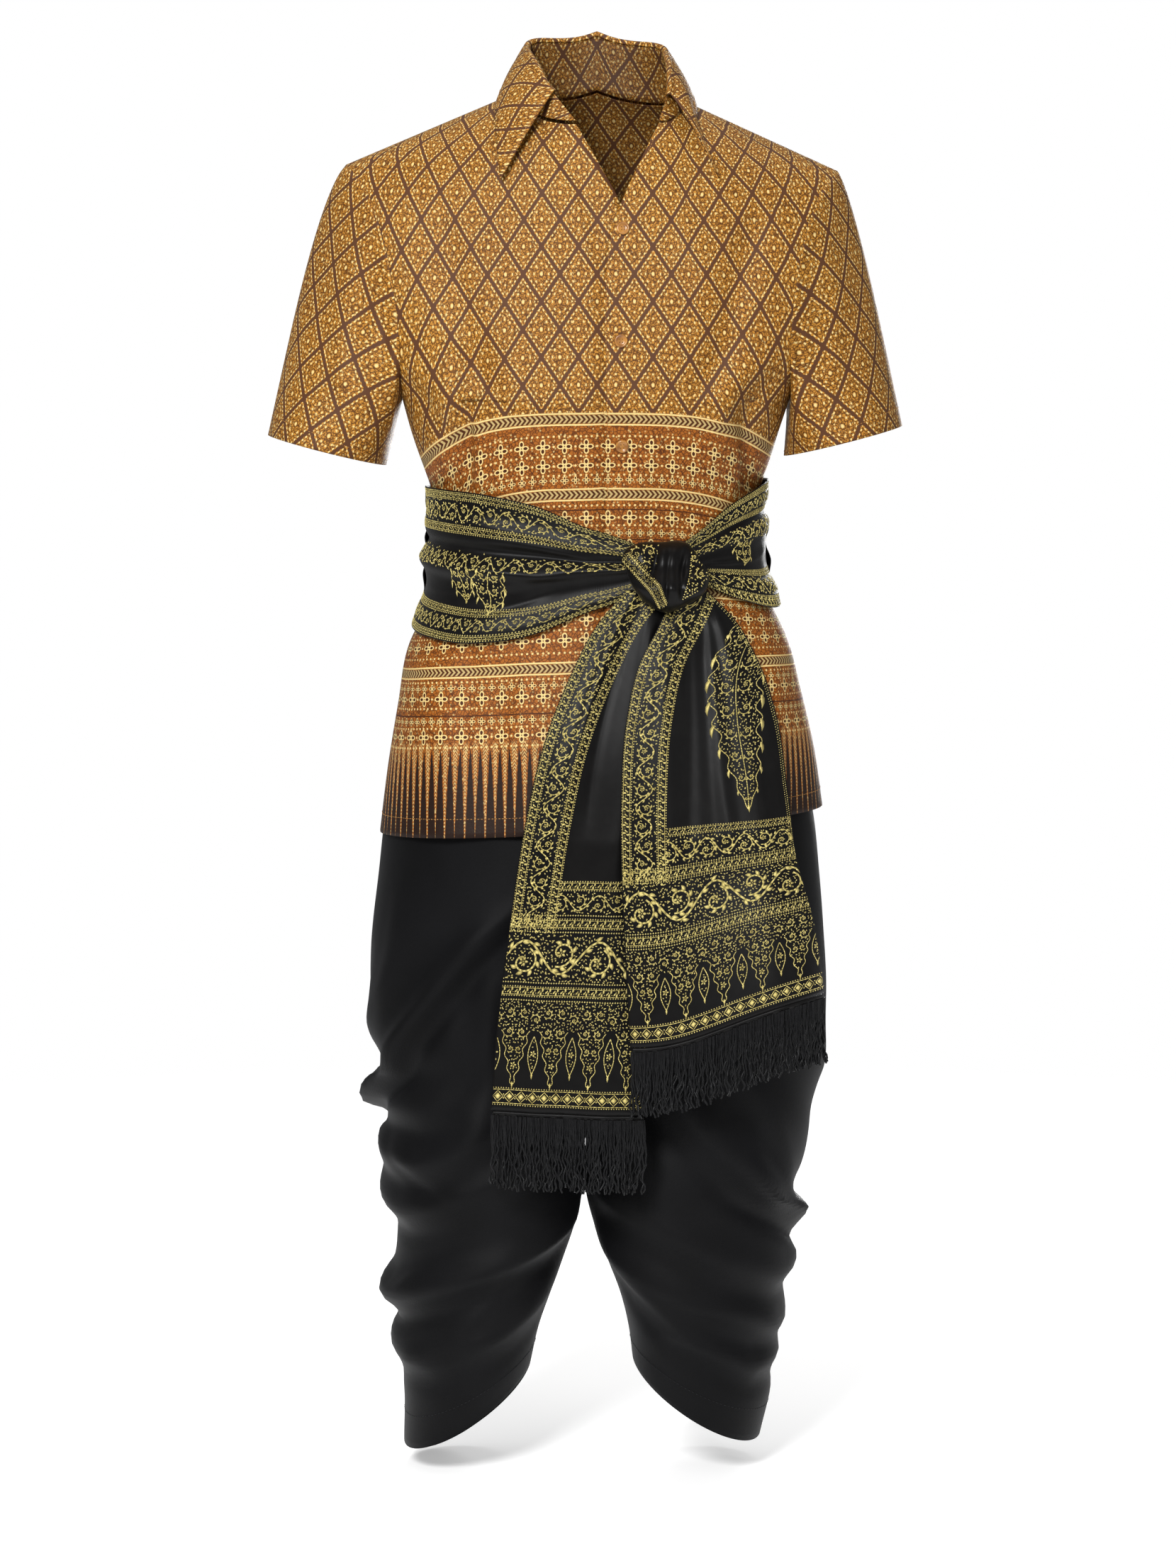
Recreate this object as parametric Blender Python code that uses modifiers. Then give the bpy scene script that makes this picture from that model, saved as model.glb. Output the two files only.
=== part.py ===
"""A Thai man's dress set, worn and hollow: a short-sleeved shirt, a knotted sash and draped trousers.

+Z is up, the front faces -Y and the wearer's left is +X. The origin is in the middle of the neck, level
with the neck ends of the shoulder seams, where the wearer's shoulders carry the shirt.
The tables are in millimetres and degrees. "right" and "left" are the wearer's.
"""

import math

import bmesh
import bpy
import numpy as np
from mathutils import Matrix, Vector

MM = 0.001

# Walls of cloth, and the space between pieces.
SHIRT_CLOTH = 1.2
COLLAR_CLOTH = 1.6
TROUSER_CLOTH = 1.6
SASH_CLOTH = 1.4
SEAM_GAP = 0.4
LAYER_GAP = 0.8

# The shirt's body.
ARMPIT = -268.0
HEM = -651.0
HEM_TILT = 0.06
RIDGE_HEIGHT = 38.0
LEFT_SHOULDER_LOWER = 2.7
SHOULDER_SLOPE = {"right": 0.42, "left": 0.452}
SHOULDER_TIP = 227.0
LEFT_TIP_SHORTER = 9.0
NECK_POINT = 84.0
FRONT_NECK_DROP = -22.0
BACK_NECK_DEPTH = 55.0
HIP_SQUARENESS = 2.3
SHOULDER_ROLL = 2.2
PANEL_ROWS_BELOW = 11
PANEL_ROWS_ABOVE = 9
FRONT_COLUMNS = 10
BACK_HALF_COLUMNS = 9
BUTTON_LAP = (32.0, 41.0)

# The sleeves.
SLEEVE_ROWS = 6
SLEEVE_HEAD = {"right": 9.5, "left": 5.0}
CUFF_HALF_WIDTH = 55.5
CUFF_HALF_DEPTH = 68.0
CUFF_TILT = 14.3

# The collar.
COLLAR_COLUMNS = 26
STAND_ROWS = 2
LEAF_ROWS = 3
COLLAR_ROLL = 3.0

# The buttons.
BUTTON_RADIUS = 5.8
BUTTON_THICKNESS = 2.6
BUTTON_SIDES = 10
BUTTON_LEVELS = (-116.0, -215.0, -308.0, -500.0, -596.0)
BUTTON_INSET = 16.0
BUTTON_GAP = 0.3

# The trousers.
WAISTBAND_TOP = -385.0
WAIST = -425.0
WAISTBAND_COLUMNS = 24
WAISTBAND_FLARE = 2.2
LEG_COLUMNS = 22
HIP_ROWS = 4
LEG_ROWS = 18
BACK_TAIL_TOP = -427.0
BACK_TAIL_END = -925.0
BACK_TAIL_ROWS = 11
BACK_TAIL_PLEATS = 3

# The sash.
WRAP_ROWS = 10
WRAP_FRONT_RIGHT_COLUMNS = 12
WRAP_FRONT_LEFT_COLUMNS = 7
WRAP_BACK_COLUMNS = 11
KNOT_CENTRE = (61.0, -105.6, -427.0)
KNOT_RADII = (39.0, 26.0, 34.0)
KNOT_BACK = 2.0
KNOT_TURN = 0.22
KNOT_LIP = 14.0
KNOT_BAND_WIDTH = 16.0
KNOT_BAND_STEPS = 9
TAIL_COLUMNS = 9
TAIL_ROWS = 14
FRINGE_STRIP = 5.0
STRAND_ROWS = 2


class Table:
    """Rows of sizes under named columns. The first column is the key, and a column is read on a smooth curve."""

    def __init__(self, columns, *rows):
        self.columns = columns.split()
        self.rows = np.array(sorted(rows), float)
        self.keys = self.rows[:, 0]

    def at(self, name, key):
        values = self.rows[:, self.columns.index(name)]
        slopes = np.gradient(values, self.keys)
        key = np.clip(np.asarray(key, float), self.keys[0], self.keys[-1])
        i = np.clip(np.searchsorted(self.keys, key) - 1, 0, len(self.keys) - 2)
        span = self.keys[i + 1] - self.keys[i]
        t = (key - self.keys[i]) / span
        return (
            values[i] * (1 + 2 * t) * (1 - t) ** 2
            + slopes[i] * span * t * (1 - t) ** 2
            + values[i + 1] * t * t * (3 - 2 * t)
            + slopes[i + 1] * span * t * t * (t - 1)
        )


# Half widths of the shirt to each side, its depths before and behind the side seams, and how square it is.
TORSO = Table(
    "level right left front back square",
    (-660, 200, 208, 135, 134, 2.3),
    (-591, 191, 198, 128, 128, 2.3),
    (-539, 182, 186, 120, 121, 2.3),
    (-487, 172, 172, 111, 110, 2.3),
    (-455, 157, 158, 106, 103, 2.3),
    (-400, 148, 148, 103, 96, 2.3),
    (-345, 152, 151, 107, 100, 2.3),
    (-331, 157, 156, 110, 103, 2.35),
    (-300, 168, 165, 116, 109, 2.5),
    (ARMPIT, 177, 175, 121, 115, 2.8),
)

# Above the armpit: the armhole's edge, the width that the chest's curve would close at, and how square it is.
CHEST = Table(
    "share armhole closing square",
    (0.0, 176, 176, 2.8),
    (0.06, 175, 186, 2.75),
    (0.14, 175, 202, 2.7),
    (0.37, 179, 230, 2.5),
    (0.5, 184, 243, 2.4),
    (0.75, 198, 254, 2.3),
    (0.9, 212, 259, 2.3),
    (1.0, SHOULDER_TIP, 262, 2.3),
)

# The front edges, measured outwards from the middle on each panel's own side, from hem (-1) to neck (1).
FRONT_EDGES = Table(
    "share right left",
    (-1.0, -37, 7),
    (-0.5, -36, 7),
    (0.0, -36, 6),
    (0.45, -34, 6),
    (0.57, -30, 9),
    (0.71, -21, 21),
    (0.86, -1, 38),
    (1.0, 19, 55),
)

# Soft troughs and ridges of the shirt's front: where each starts and ends, and how far it leans.
SHIRT_FOLD_COLUMNS = "x top bottom lean lift spread"
SHIRT_FRONT_FOLDS = (
    (-100, -200, -340, 0.20, -6.0, 17),
    (-128, -230, -300, 0.10, 4.0, 15),
    (136, -240, -340, -0.02, -5.5, 15),
    (112, -220, -300, 0.02, 3.5, 17),
    (-146, -85, -225, -0.25, -4.5, 16),
    (146, -85, -235, 0.25, -5.0, 15),
    (-150, -480, -760, -0.05, 4.0, 22),
    (-95, -480, -760, -0.02, -3.0, 22),
    (165, -470, -760, 0.06, 3.0, 20),
)
SHIRT_BACK_FOLDS = (
    (-70, -250, -335, 0.10, -5.0, 18),
    (75, -240, -335, -0.08, -5.0, 18),
    (-105, -470, -760, -0.08, 5.0, 24),
    (5, -470, -760, 0.0, 4.5, 26),
    (110, -470, -760, 0.08, 5.0, 24),
    (-142, -85, -240, -0.2, -4.0, 18),
    (142, -85, -240, 0.2, -4.0, 18),
)

# Centre of each cuff.
CUFFS = {"right": (-245.5, -315.0), "left": (224.0, -306.5)}

# The collar from its right front end (-1) round the back (0) to its left front end (1): how far the fold
# line stands above the neck seam, and how far it leans.
COLLAR_FOLD = Table(
    "around rise across behind",
    (-1.0, 26, -19, 8),
    (-0.75, 37, 13, 6),
    (-0.5, 42, 22, 8),
    (-0.25, 53, 9, 0),
    (0.0, 52, 0, 1),
    (0.25, 53, -11, 0),
    (0.5, 43, -23, 8),
    (0.75, 36, -12, 6),
    (1.0, 24, 8, 8),
)
# The leaf's lower edge, as a place on the shirt (distance from the middle, share of the height to the
# shoulder) and its distance off it.
COLLAR_EDGE = Table(
    "around middle height off",
    (-1.0, 86, 0.71, 9),
    (-0.75, 91, 0.89, 6),
    (-0.5, 88, 1.0, 4),
    (-0.25, 64, 0.93, 7),
    (0.0, 0, 0.875, 7),
    (0.25, 64, 0.93, 7),
    (0.5, 88, 1.0, 4),
    (0.75, 91, 0.91, 6),
    (1.0, 109, 0.76, 9),
)

# The trousers, by the height of each ring's centre: depths before and behind the side, and how far the two
# legs are drawn together (0 at the hips, 1 from the crotch down).
SEAT = Table(
    "level front back pinch",
    (-425, 97, 92, 0.0),
    (-500, 104, 98, 0.0),
    (-560, 113, 107, 0.0),
    (-620, 121, 113, 0.0),
    (-665, 125, 117, 0.0),
    (-710, 129, 121, 0.02),
    (-760, 131, 124, 0.08),
    (-820, 129, 124, 0.25),
    (-880, 124, 120, 0.50),
    (-930, 118, 114, 0.74),
    (-970, 112, 108, 0.93),
    (-990, 109, 105, 1.0),
    (-1030, 101, 97, 1.0),
    (-1072, 93, 89, 1.0),
    (-1110, 85, 82, 1.0),
    (-1150, 76, 74, 1.0),
    (-1190, 67, 65, 1.0),
)
# Each leg: outer and inner side from the middle, and how far the ring drops outwards, before and behind.
LEGS = {
    "right": Table(
        "level outer inner drop_out drop_front drop_back",
        (-425, 143, 0, 0, 0, 0),
        (-460, 149, 0, 0, 0, 0),
        (-500, 161, 0, 0, 0, 0),
        (-560, 178, 0, 0, 0, 0),
        (-620, 190, 1, 0, 0, 0),
        (-663, 196, 2, 0, 0, 0),
        (-700, 200, 3, 0, 0, 0),
        (-750, 206, 4, 0, 0, 0),
        (-815, 210, 6, 0, 0, 0),
        (-850, 209, 7, 0, 0, 0),
        (-880, 196, 8, 0, 0, 0),
        (-907, 204, 9, 0, 0, 0),
        (-932, 192, 10, 0, 0, 0),
        (-960, 200, 11, 0, 0, 0),
        (-990, 196, 12, 1, 0, 0),
        (-1029, 185, 19, 5, 1, 4),
        (-1072, 189, 31, 12, 4, 13),
        (-1110, 187, 42, 20, 8, 24),
        (-1150, 179, 53, 29, 12, 35),
        (-1193, 179, 61, 38, 15, 45),
    ),
    "left": Table(
        "level outer inner drop_out drop_front drop_back",
        (-425, 143, 0, 0, 0, 0),
        (-460, 149, 0, 0, 0, 0),
        (-500, 162, 0, 0, 0, 0),
        (-560, 181, 0, 0, 0, 0),
        (-620, 193, -1, 0, 0, 0),
        (-645, 198, -2, 0, 0, 0),
        (-700, 204, -3, 0, 0, 0),
        (-750, 208, -4, 0, 0, 0),
        (-815, 211, -6, 0, 0, 0),
        (-880, 205, -8, 0, 0, 0),
        (-935, 197, -10, 0, 0, 0),
        (-970, 189, -11, 1, 0, 0),
        (-994, 178, -11, 2, 0, 0),
        (-1030, 184, -4, 6, 1, 4),
        (-1072, 174, 9, 13, 5, 12),
        (-1110, 166, 21, 20, 9, 22),
        (-1150, 162, 29, 28, 13, 33),
        (-1187, 152, 33, 35, 16, 41),
    ),
}
# Swags that hang round the outside of each leg: lowest point, its angle from the outer side (front is
# minus), how far the swag climbs to the inner seam before and behind, and its lift and height.
SWAG_COLUMNS = "level angle front_climb back_climb lift spread"
SWAGS = {
    "right": (
        (-846, 8, 285, 150, 2.0, 18),
        (-910, 8, 260, 150, 15.0, 13),
        (-957, -52, 120, 120, 8.0, 17),
        (-1006, -34, 110, 110, 6.0, 15),
        (-1090, -16, 95, 90, 13.0, 15),
        (-1146, -58, 85, 70, 5.0, 14),
    ),
    "left": (
        (-880, 6, 240, 140, 5.0, 28),
        (-1020, 6, 215, 130, 16.0, 15),
        (-1066, -28, 110, 100, 5.0, 14),
        (-1116, -20, 95, 90, 6.0, 14),
        (-1150, -46, 130, 80, 6.0, 14),
    ),
}
SWAG_BEND = 1.35
SWAG_UNDERCUT = 1.7

# The sash's stretches, by the angle round the waist (front is -90, the wearer's left is 0).
WRAP_FRONT_RIGHT = Table(
    "angle top bottom",
    (-180, -346, -466),
    (-150, -347, -476),
    (-125, -352, -481),
    (-105, -364, -473),
    (-92, -381, -456),
    (-77, -399, -437),
)
WRAP_FRONT_LEFT = Table(
    "angle top bottom",
    (-64, -398, -434),
    (-54, -384, -438),
    (-42, -366, -449),
    (-22, -350, -460),
    (0, -343, -461),
)
WRAP_BACK = Table(
    "angle top bottom",
    (0, -343, -461),
    (45, -345, -463),
    (90, -350, -466),
    (135, -348, -468),
    (180, -346, -466),
)
# How far the sash stands off the shirt, from its top edge (0) to its lower edge (1).
WRAP_FRONT_RIGHT_RELIEF = Table(
    "across lift",
    (0.0, 3.2),
    (0.12, 4.6),
    (0.32, 6.8),
    (0.38, 3.6),
    (0.44, 8.0),
    (0.52, 12.0),
    (0.60, 6.5),
    (0.68, 3.4),
    (0.80, 4.0),
    (0.90, 6.2),
    (1.0, 5.0),
)
WRAP_FRONT_LEFT_RELIEF = Table(
    "across lift",
    (0.0, 3.2),
    (0.14, 6.0),
    (0.22, 3.8),
    (0.34, 8.2),
    (0.44, 5.0),
    (0.56, 3.4),
    (0.72, 3.8),
    (0.86, 7.8),
    (1.0, 6.0),
)
WRAP_BACK_RELIEF = Table(
    "across lift",
    (0.0, 3.2),
    (0.14, 6.0),
    (0.26, 3.8),
    (0.38, 8.0),
    (0.5, 4.2),
    (0.64, 7.6),
    (0.78, 4.0),
    (0.9, 6.4),
    (1.0, 5.0),
)

# The sash's two hanging ends: edges by height, and how far each side stands off the dress.
TAILS = {
    "right": Table(
        "level inner outer off_inner off_outer",
        (-436, 62, 26, 7, 7),
        (-467, 63, 0, 6.6, 6.6),
        (-510, 62, -23, 6, 6),
        (-577, 58, -49, 7, 8),
        (-643, 54, -64, 7, 9),
        (-735, 50, -78, 8, 11),
        (-825, 46, -89, 9, 13),
        (-904, 43, -95, 11, 16),
    ),
    "left": Table(
        "level inner outer off_inner off_outer",
        (-436, 68, 97, 14, 16),
        (-462, 58, 122, 14, 12),
        (-500, 38, 144, 15, 14),
        (-550, 26, 161, 15, 17),
        (-620, 21, 171, 16, 25),
        (-700, 22, 180, 17, 40),
        (-760, 25, 193, 18, 62),
        (-841, 29, 205, 20, 88),
    ),
}
TAIL_END_RISE = {"right": 4.0, "left": 45.0}
TAIL_FOLD_COLUMNS = "share lift spread fade"
TAIL_FOLDS = {
    "right": ((0.30, 4.5, 0.12, 0.75), (0.72, 5.0, 0.12, 0.9)),
    "left": ((0.24, 5.0, 0.11, 0.7), (0.55, -3.5, 0.12, 0.9), (0.80, 6.0, 0.12, 1.0)),
}
FRINGES = {"right": (42, 66.0), "left": (52, 58.0)}

# Colour, roughness and metallic value.
FINISHES = {
    "printed_cotton": ((0.52, 0.27, 0.08), 0.55, 0.0),
    "trouser_cloth": ((0.012, 0.012, 0.014), 0.75, 0.0),
    "brocade": ((0.20, 0.17, 0.06), 0.45, 0.3),
    "fringe_yarn": ((0.008, 0.008, 0.009), 0.6, 0.0),
    "button": ((0.46, 0.27, 0.09), 0.35, 0.0),
}


def eased(t):
    t = np.clip(t, 0.0, 1.0)
    return t * t * (3 - 2 * t)


def hand_of(side):
    return -1.0 if side == "right" else 1.0


def clear_scene():
    for obj in list(bpy.data.objects):
        bpy.data.objects.remove(obj)


def make_finishes():
    made = {}
    for name, (colour, roughness, metallic) in FINISHES.items():
        material = bpy.data.materials.new(name)
        material.use_nodes = True
        shader = material.node_tree.nodes["Principled BSDF"]
        shader.inputs["Base Color"].default_value = (*colour, 1.0)
        shader.inputs["Roughness"].default_value = roughness
        shader.inputs["Metallic"].default_value = metallic
        made[name] = material
    return made


def place(name, mesh, finish):
    mesh.materials.append(FINISH[finish])
    mesh.shade_smooth()
    obj = bpy.data.objects.new(name, mesh)
    DRESS.objects.link(obj)
    return obj


def sheet_mesh(name, points, closed=False):
    """A surface through a grid of points in millimetres, rows by columns, facing column step x row step."""
    rows, columns = points.shape[:2]
    last = columns if closed else columns - 1
    faces = [
        (
            r * columns + c,
            r * columns + (c + 1) % columns,
            (r + 1) * columns + (c + 1) % columns,
            (r + 1) * columns + c,
        )
        for r in range(rows - 1)
        for c in range(last)
    ]
    mesh = bpy.data.meshes.new(name)
    mesh.from_pydata((points.reshape(-1, 3) * MM).tolist(), [], faces)
    shape = bmesh.new()
    shape.from_mesh(mesh)
    bmesh.ops.remove_doubles(shape, verts=shape.verts, dist=0.000001)
    shape.to_mesh(mesh)
    shape.free()
    return mesh


def cloth(name, points, thickness, finish, closed=False):
    """A piece of cloth with a wall behind the surface through the points."""
    obj = place(name, sheet_mesh(name, points, closed), finish)
    wall = obj.modifiers.new("wall", "SOLIDIFY")
    wall.thickness = thickness * MM
    wall.offset = -1.0
    wall.use_quality_normals = True
    return obj


def normals(points, closed=False):
    """Unit normals of a grid of points, facing column step x row step."""
    if closed:
        along = np.roll(points, -1, 1) - np.roll(points, 1, 1)
    else:
        along = np.gradient(points, axis=1)
    found = np.cross(along, np.gradient(points, axis=0))
    return found / np.maximum(np.linalg.norm(found, axis=2, keepdims=True), 1e-9)


def pushed(points, amount, closed=False):
    return points + normals(points, closed) * amount[..., None]


# The shirt.


def ridge(side, middle):
    """Height of the shoulder line at a distance from the middle."""
    lower = LEFT_SHOULDER_LOWER * eased(np.abs(middle) / 80) if side == "left" else 0.0
    return RIDGE_HEIGHT - SHOULDER_SLOPE[side] * np.abs(middle) - lower


def top_share(side, middle, front_end):
    """Share of the height from armpit to shoulder line at which a panel meets the neck seam.

    front_end is the front edge's distance from the middle, or None behind.
    """
    if front_end is None:
        depth = BACK_NECK_DEPTH * np.sqrt(np.maximum(1 - (np.abs(middle) / NECK_POINT) ** 2, 0))
        share = (1 - (depth / TORSO.at("back", ARMPIT)) ** SHOULDER_ROLL) ** (1 / SHOULDER_ROLL)
    else:
        along = np.clip((middle - front_end) / (NECK_POINT - front_end), 0, 1)
        height = FRONT_NECK_DROP + (ridge(side, NECK_POINT) - FRONT_NECK_DROP) * along**2.2
        share = (height - ARMPIT) / (ridge(side, middle) - ARMPIT)
    return np.where(np.abs(middle) >= NECK_POINT, 1.0, np.minimum(share, 1.0))


def armhole_width(side, share):
    shorter = LEFT_TIP_SHORTER * share if side == "left" else 0.0
    return CHEST.at("armhole", share) + (TORSO.at(side, ARMPIT) - 176.0) * (1 - share) - shorter


def chest_point(side, face, middle, share):
    """A point of the shirt above the armpit. middle is its distance from the middle, to the side's own hand."""
    square = CHEST.at("square", share)
    closing = CHEST.at("closing", share) + (TORSO.at(side, ARMPIT) - 176.0) * (1 - share)
    flank = np.maximum(1 - (np.abs(middle) / closing) ** square, 0) ** (1 / square)
    roll = np.maximum(1 - share**SHOULDER_ROLL, 0) ** (1 / SHOULDER_ROLL)
    hand = -1.0 if face == "front" else 1.0
    height = ARMPIT + (ridge(side, middle) - ARMPIT) * share
    y = hand * TORSO.at(face, ARMPIT) * flank * roll
    return np.stack(np.broadcast_arrays(hand_of(side) * middle, y, height), -1)


def torso_point(side, face, middle, level):
    """A point of the shirt below the armpit, at a nominal level."""
    square = TORSO.at("square", level)
    flank = np.maximum(1 - (np.abs(middle) / TORSO.at(side, level)) ** square, 0) ** (1 / square)
    hand = -1.0 if face == "front" else 1.0
    x = hand_of(side) * middle
    tilt = HEM_TILT * (level - ARMPIT) / (HEM - ARMPIT)
    return np.stack(np.broadcast_arrays(x, hand * TORSO.at(face, level) * flank, level + tilt * x), -1)


def columns_from(start, end, face, side, count):
    """Distances from the middle of one row's points, close together where the body turns."""
    spread = np.sin(np.linspace(0, 1, count + 1) * math.pi / 2) ** 0.87
    if face == "front" and side == "right":
        lap = [start] + [start + width for width in BUTTON_LAP[:-1]]
        start = start + BUTTON_LAP[-1]
        return np.concatenate([lap, start + (end - start) * spread])
    return start + (end - start) * spread


def shares_above():
    """Rows from armpit to shoulder, close together at both ends."""
    return (1 - np.cos(np.linspace(0, 1, PANEL_ROWS_ABOVE + 1) * math.pi)) / 2


def panel(side, face, columns):
    """Rows of one half of the shirt's body from hem to neck, from the middle to the side seam."""
    rows = []
    for share in np.linspace(-1, 0, PANEL_ROWS_BELOW + 1):
        level = ARMPIT + (ARMPIT - HEM) * share
        start = FRONT_EDGES.at(side, share) if face == "front" else 0.0
        middle = columns_from(start, TORSO.at(side, level), face, side, columns)
        rows.append(torso_point(side, face, middle, level))
    neck_end = FRONT_EDGES.at(side, 1.0) if face == "front" else None
    for share in shares_above()[1:]:
        start = FRONT_EDGES.at(side, share) if face == "front" else 0.0
        middle = columns_from(start, armhole_width(side, share), face, side, columns)
        rows.append(chest_point(side, face, middle, share * top_share(side, middle, neck_end)))
    return np.array(rows)


def fold_lift(points, folds):
    """How far upright folds lift the cloth at each point."""
    lift = np.zeros(points.shape[:2])
    x, z = points[..., 0], points[..., 2]
    for centre, top, bottom, lean, height, spread in folds:
        line = centre + lean * (z - top)
        window = eased((top - z) / 45) * eased((z - bottom) / 45 + 1)
        lift += height * window * np.exp(-(((x - line) / spread) ** 2))
    return lift


def shoulder_gap(points):
    """The space at the seams between front and back, wider at the shoulder where the walls lean in."""
    return SEAM_GAP / 2 + 0.25 * eased((points[..., 2] + 110) / 40)


def front_points(side):
    points = panel(side, "front", FRONT_COLUMNS if side == "left" else FRONT_COLUMNS - 1)
    if side == "left":
        points = points[:, ::-1]
    points = points[:, ::-1]
    lift = fold_lift(points, SHIRT_FRONT_FOLDS) * eased(np.abs(points[..., 1]) / 30)
    if side == "right":
        from_edge = np.abs(points[..., 0] - points[:, -1:, 0])
        lift -= (SHIRT_CLOTH + 2 * LAYER_GAP) * (1 - eased((from_edge - BUTTON_LAP[0] + 2) / 11))
    points = pushed(points, lift)
    points[..., 1] -= shoulder_gap(points)
    return points


def back_points():
    right = panel("right", "back", BACK_HALF_COLUMNS)
    left = panel("left", "back", BACK_HALF_COLUMNS)
    points = np.concatenate([left[:, :0:-1], right], 1)
    points = pushed(points, fold_lift(points, SHIRT_BACK_FOLDS) * eased(points[..., 1] / 30))
    points[..., 1] += shoulder_gap(points)
    return points


def make_front(side):
    return cloth("shirt_front_" + side, front_points(side), SHIRT_CLOTH, "printed_cotton")


def make_back():
    return cloth("shirt_back", back_points(), SHIRT_CLOTH, "printed_cotton")


def armhole(side):
    """Points round an armhole from the shoulder's tip forwards, down to the armpit and up behind."""
    front = front_points(side)[PANEL_ROWS_BELOW:, 0 if side == "right" else -1]
    back = back_points()[PANEL_ROWS_BELOW:, -1 if side == "right" else 0]
    ring = np.concatenate([front[::-1], back[1:-1]])
    ring[0, 1] = 0
    ring[PANEL_ROWS_ABOVE, 1] = 0
    return ring


def cuff(side, angles):
    hand = hand_of(side)
    x, z = CUFFS[side]
    tilt = math.radians(CUFF_TILT)
    out = CUFF_HALF_WIDTH * np.cos(angles)
    return np.stack(
        [x + hand * out * math.cos(tilt), -CUFF_HALF_DEPTH * np.sin(angles), z + out * math.sin(tilt)], -1
    )


def torso_width_at(side, y, level, margin):
    """Half width of the body below the armpit at a depth, and nothing above it."""
    square = TORSO.at("square", level)
    depth = np.where(y < 0, TORSO.at("front", level), TORSO.at("back", level)) + margin
    flank = np.maximum(1 - (np.abs(y) / depth) ** square, 0) ** (1 / square)
    return np.where(level < ARMPIT + 0.5, (TORSO.at(side, level) + margin) * flank, 0.0)


def make_sleeve(side):
    start = armhole(side)
    angles = np.arange(len(start)) * 2 * math.pi / len(start)
    end = cuff(side, angles)
    length = np.linalg.norm(end - start, axis=1, keepdims=True)
    hand = hand_of(side)
    rows = []
    for share in np.linspace(0, 1, SLEEVE_ROWS + 1):
        seam = (SEAM_GAP * 1.6 + 1.5 * np.maximum(np.cos(angles), 0)[:, None] ** 0.5) / length
        ring = start + (end - start) * (seam + (1 - seam) * share)
        head = SLEEVE_HEAD[side] * math.sin(math.pi * share**0.55) * np.maximum(np.cos(angles), 0) ** 1.5
        ring[:, 0] += hand * head
        crease = 2.5 * math.sin(math.pi * share) * np.sin(3 * angles + 0.6)
        ring[:, 1] -= crease * np.sin(angles)
        clear = torso_width_at(side, ring[:, 1], ring[:, 2], 0.5 + 2.0 * min(share * 5, 1))
        ring[:, 0] = np.where(hand * ring[:, 0] < clear, hand * clear, ring[:, 0])
        rows.append(ring)
    points = np.array(rows)
    if side == "right":
        points = points[:, ::-1]
    return cloth("sleeve_" + side, points, SHIRT_CLOTH, "printed_cotton", closed=True)


# The collar.


def neck_seam(around):
    """The neck seam from the right front end (-1) round the back to the left front end (1)."""
    points = []
    for a in around:
        side = "right" if a < 0 else "left"
        turn = abs(a)
        if turn <= 0.5:
            middle = NECK_POINT * math.sin(turn * math.pi)
            points.append(chest_point(side, "back", middle, top_share(side, middle, None)))
        else:
            end = float(FRONT_EDGES.at(side, 1.0))
            middle = end + (NECK_POINT - end) * math.cos((turn - 0.5) * math.pi)
            points.append(chest_point(side, "front", middle, top_share(side, middle, end)))
    return np.array(points)


def fold_line(around):
    seam = neck_seam(around)
    return seam + np.stack([COLLAR_FOLD.at(name, around) for name in ("across", "behind", "rise")], -1)


def fold_axes(fold):
    """Directions square to the fold line: level and away from the neck, and upwards."""
    along = np.gradient(fold, axis=0)
    out = -np.cross(along, (0, 0, 1.0))
    out /= np.linalg.norm(out, axis=1, keepdims=True)
    up = np.cross(along, out)
    return out, up / np.linalg.norm(up, axis=1, keepdims=True)


def leaf_edge(around):
    """The leaf's lower edge, off the shirt along the shirt's own normal."""
    points = []
    for a in around:
        side = "right" if a < 0 else "left"
        face = "back" if abs(a) < 0.5 else "front"
        middle, share = COLLAR_EDGE.at("middle", a), min(COLLAR_EDGE.at("height", a), 0.995)
        here = chest_point(side, face, middle, share)
        below = chest_point(side, face, middle, share - 0.01)
        rise = here - below
        hand = -1.0 if face == "front" else 1.0
        out = np.array([0.0, hand * rise[2], abs(rise[1])])
        points.append(here + out / np.linalg.norm(out) * COLLAR_EDGE.at("off", a))
    return np.array(points)


def make_collar_stand():
    around = np.linspace(-1, 1, COLLAR_COLUMNS + 1)
    low = neck_seam(around)
    low[:, 2] += SEAM_GAP + 1.4 + 0.8 * (1 - eased(np.abs(around) * 2))
    fold = fold_line(around)
    high = fold - fold_axes(fold)[1] * SEAM_GAP
    share = np.linspace(0, 1, STAND_ROWS + 1)[:, None, None]
    points = low + (high - low) * share
    return cloth("collar_stand", points[:, ::-1], COLLAR_CLOTH, "printed_cotton")


def make_collar_leaf():
    """The leaf: up from the stand's inner side, over the fold and down onto the shirt."""
    around = np.linspace(-1, 1, COLLAR_COLUMNS + 1)
    fold, edge = fold_line(around), leaf_edge(around)
    out, up = fold_axes(fold)
    middle = fold + out * (COLLAR_ROLL - COLLAR_CLOTH) + up * 1.2
    rows = [fold - out * COLLAR_CLOTH]
    for degrees in (180, 125, 70, 15):
        turn = math.radians(degrees)
        rows.append(middle + COLLAR_ROLL * (out * math.cos(turn) + up * math.sin(turn)))
    last = rows[-1]
    for share in np.linspace(0, 1, LEAF_ROWS + 1)[1:]:
        bow = 3.0 * math.sin(math.pi * share**0.8)
        rows.append(last + (edge - last) * share + out * bow)
    return cloth("collar_leaf", np.array(rows), COLLAR_CLOTH, "printed_cotton")


# The buttons.


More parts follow.
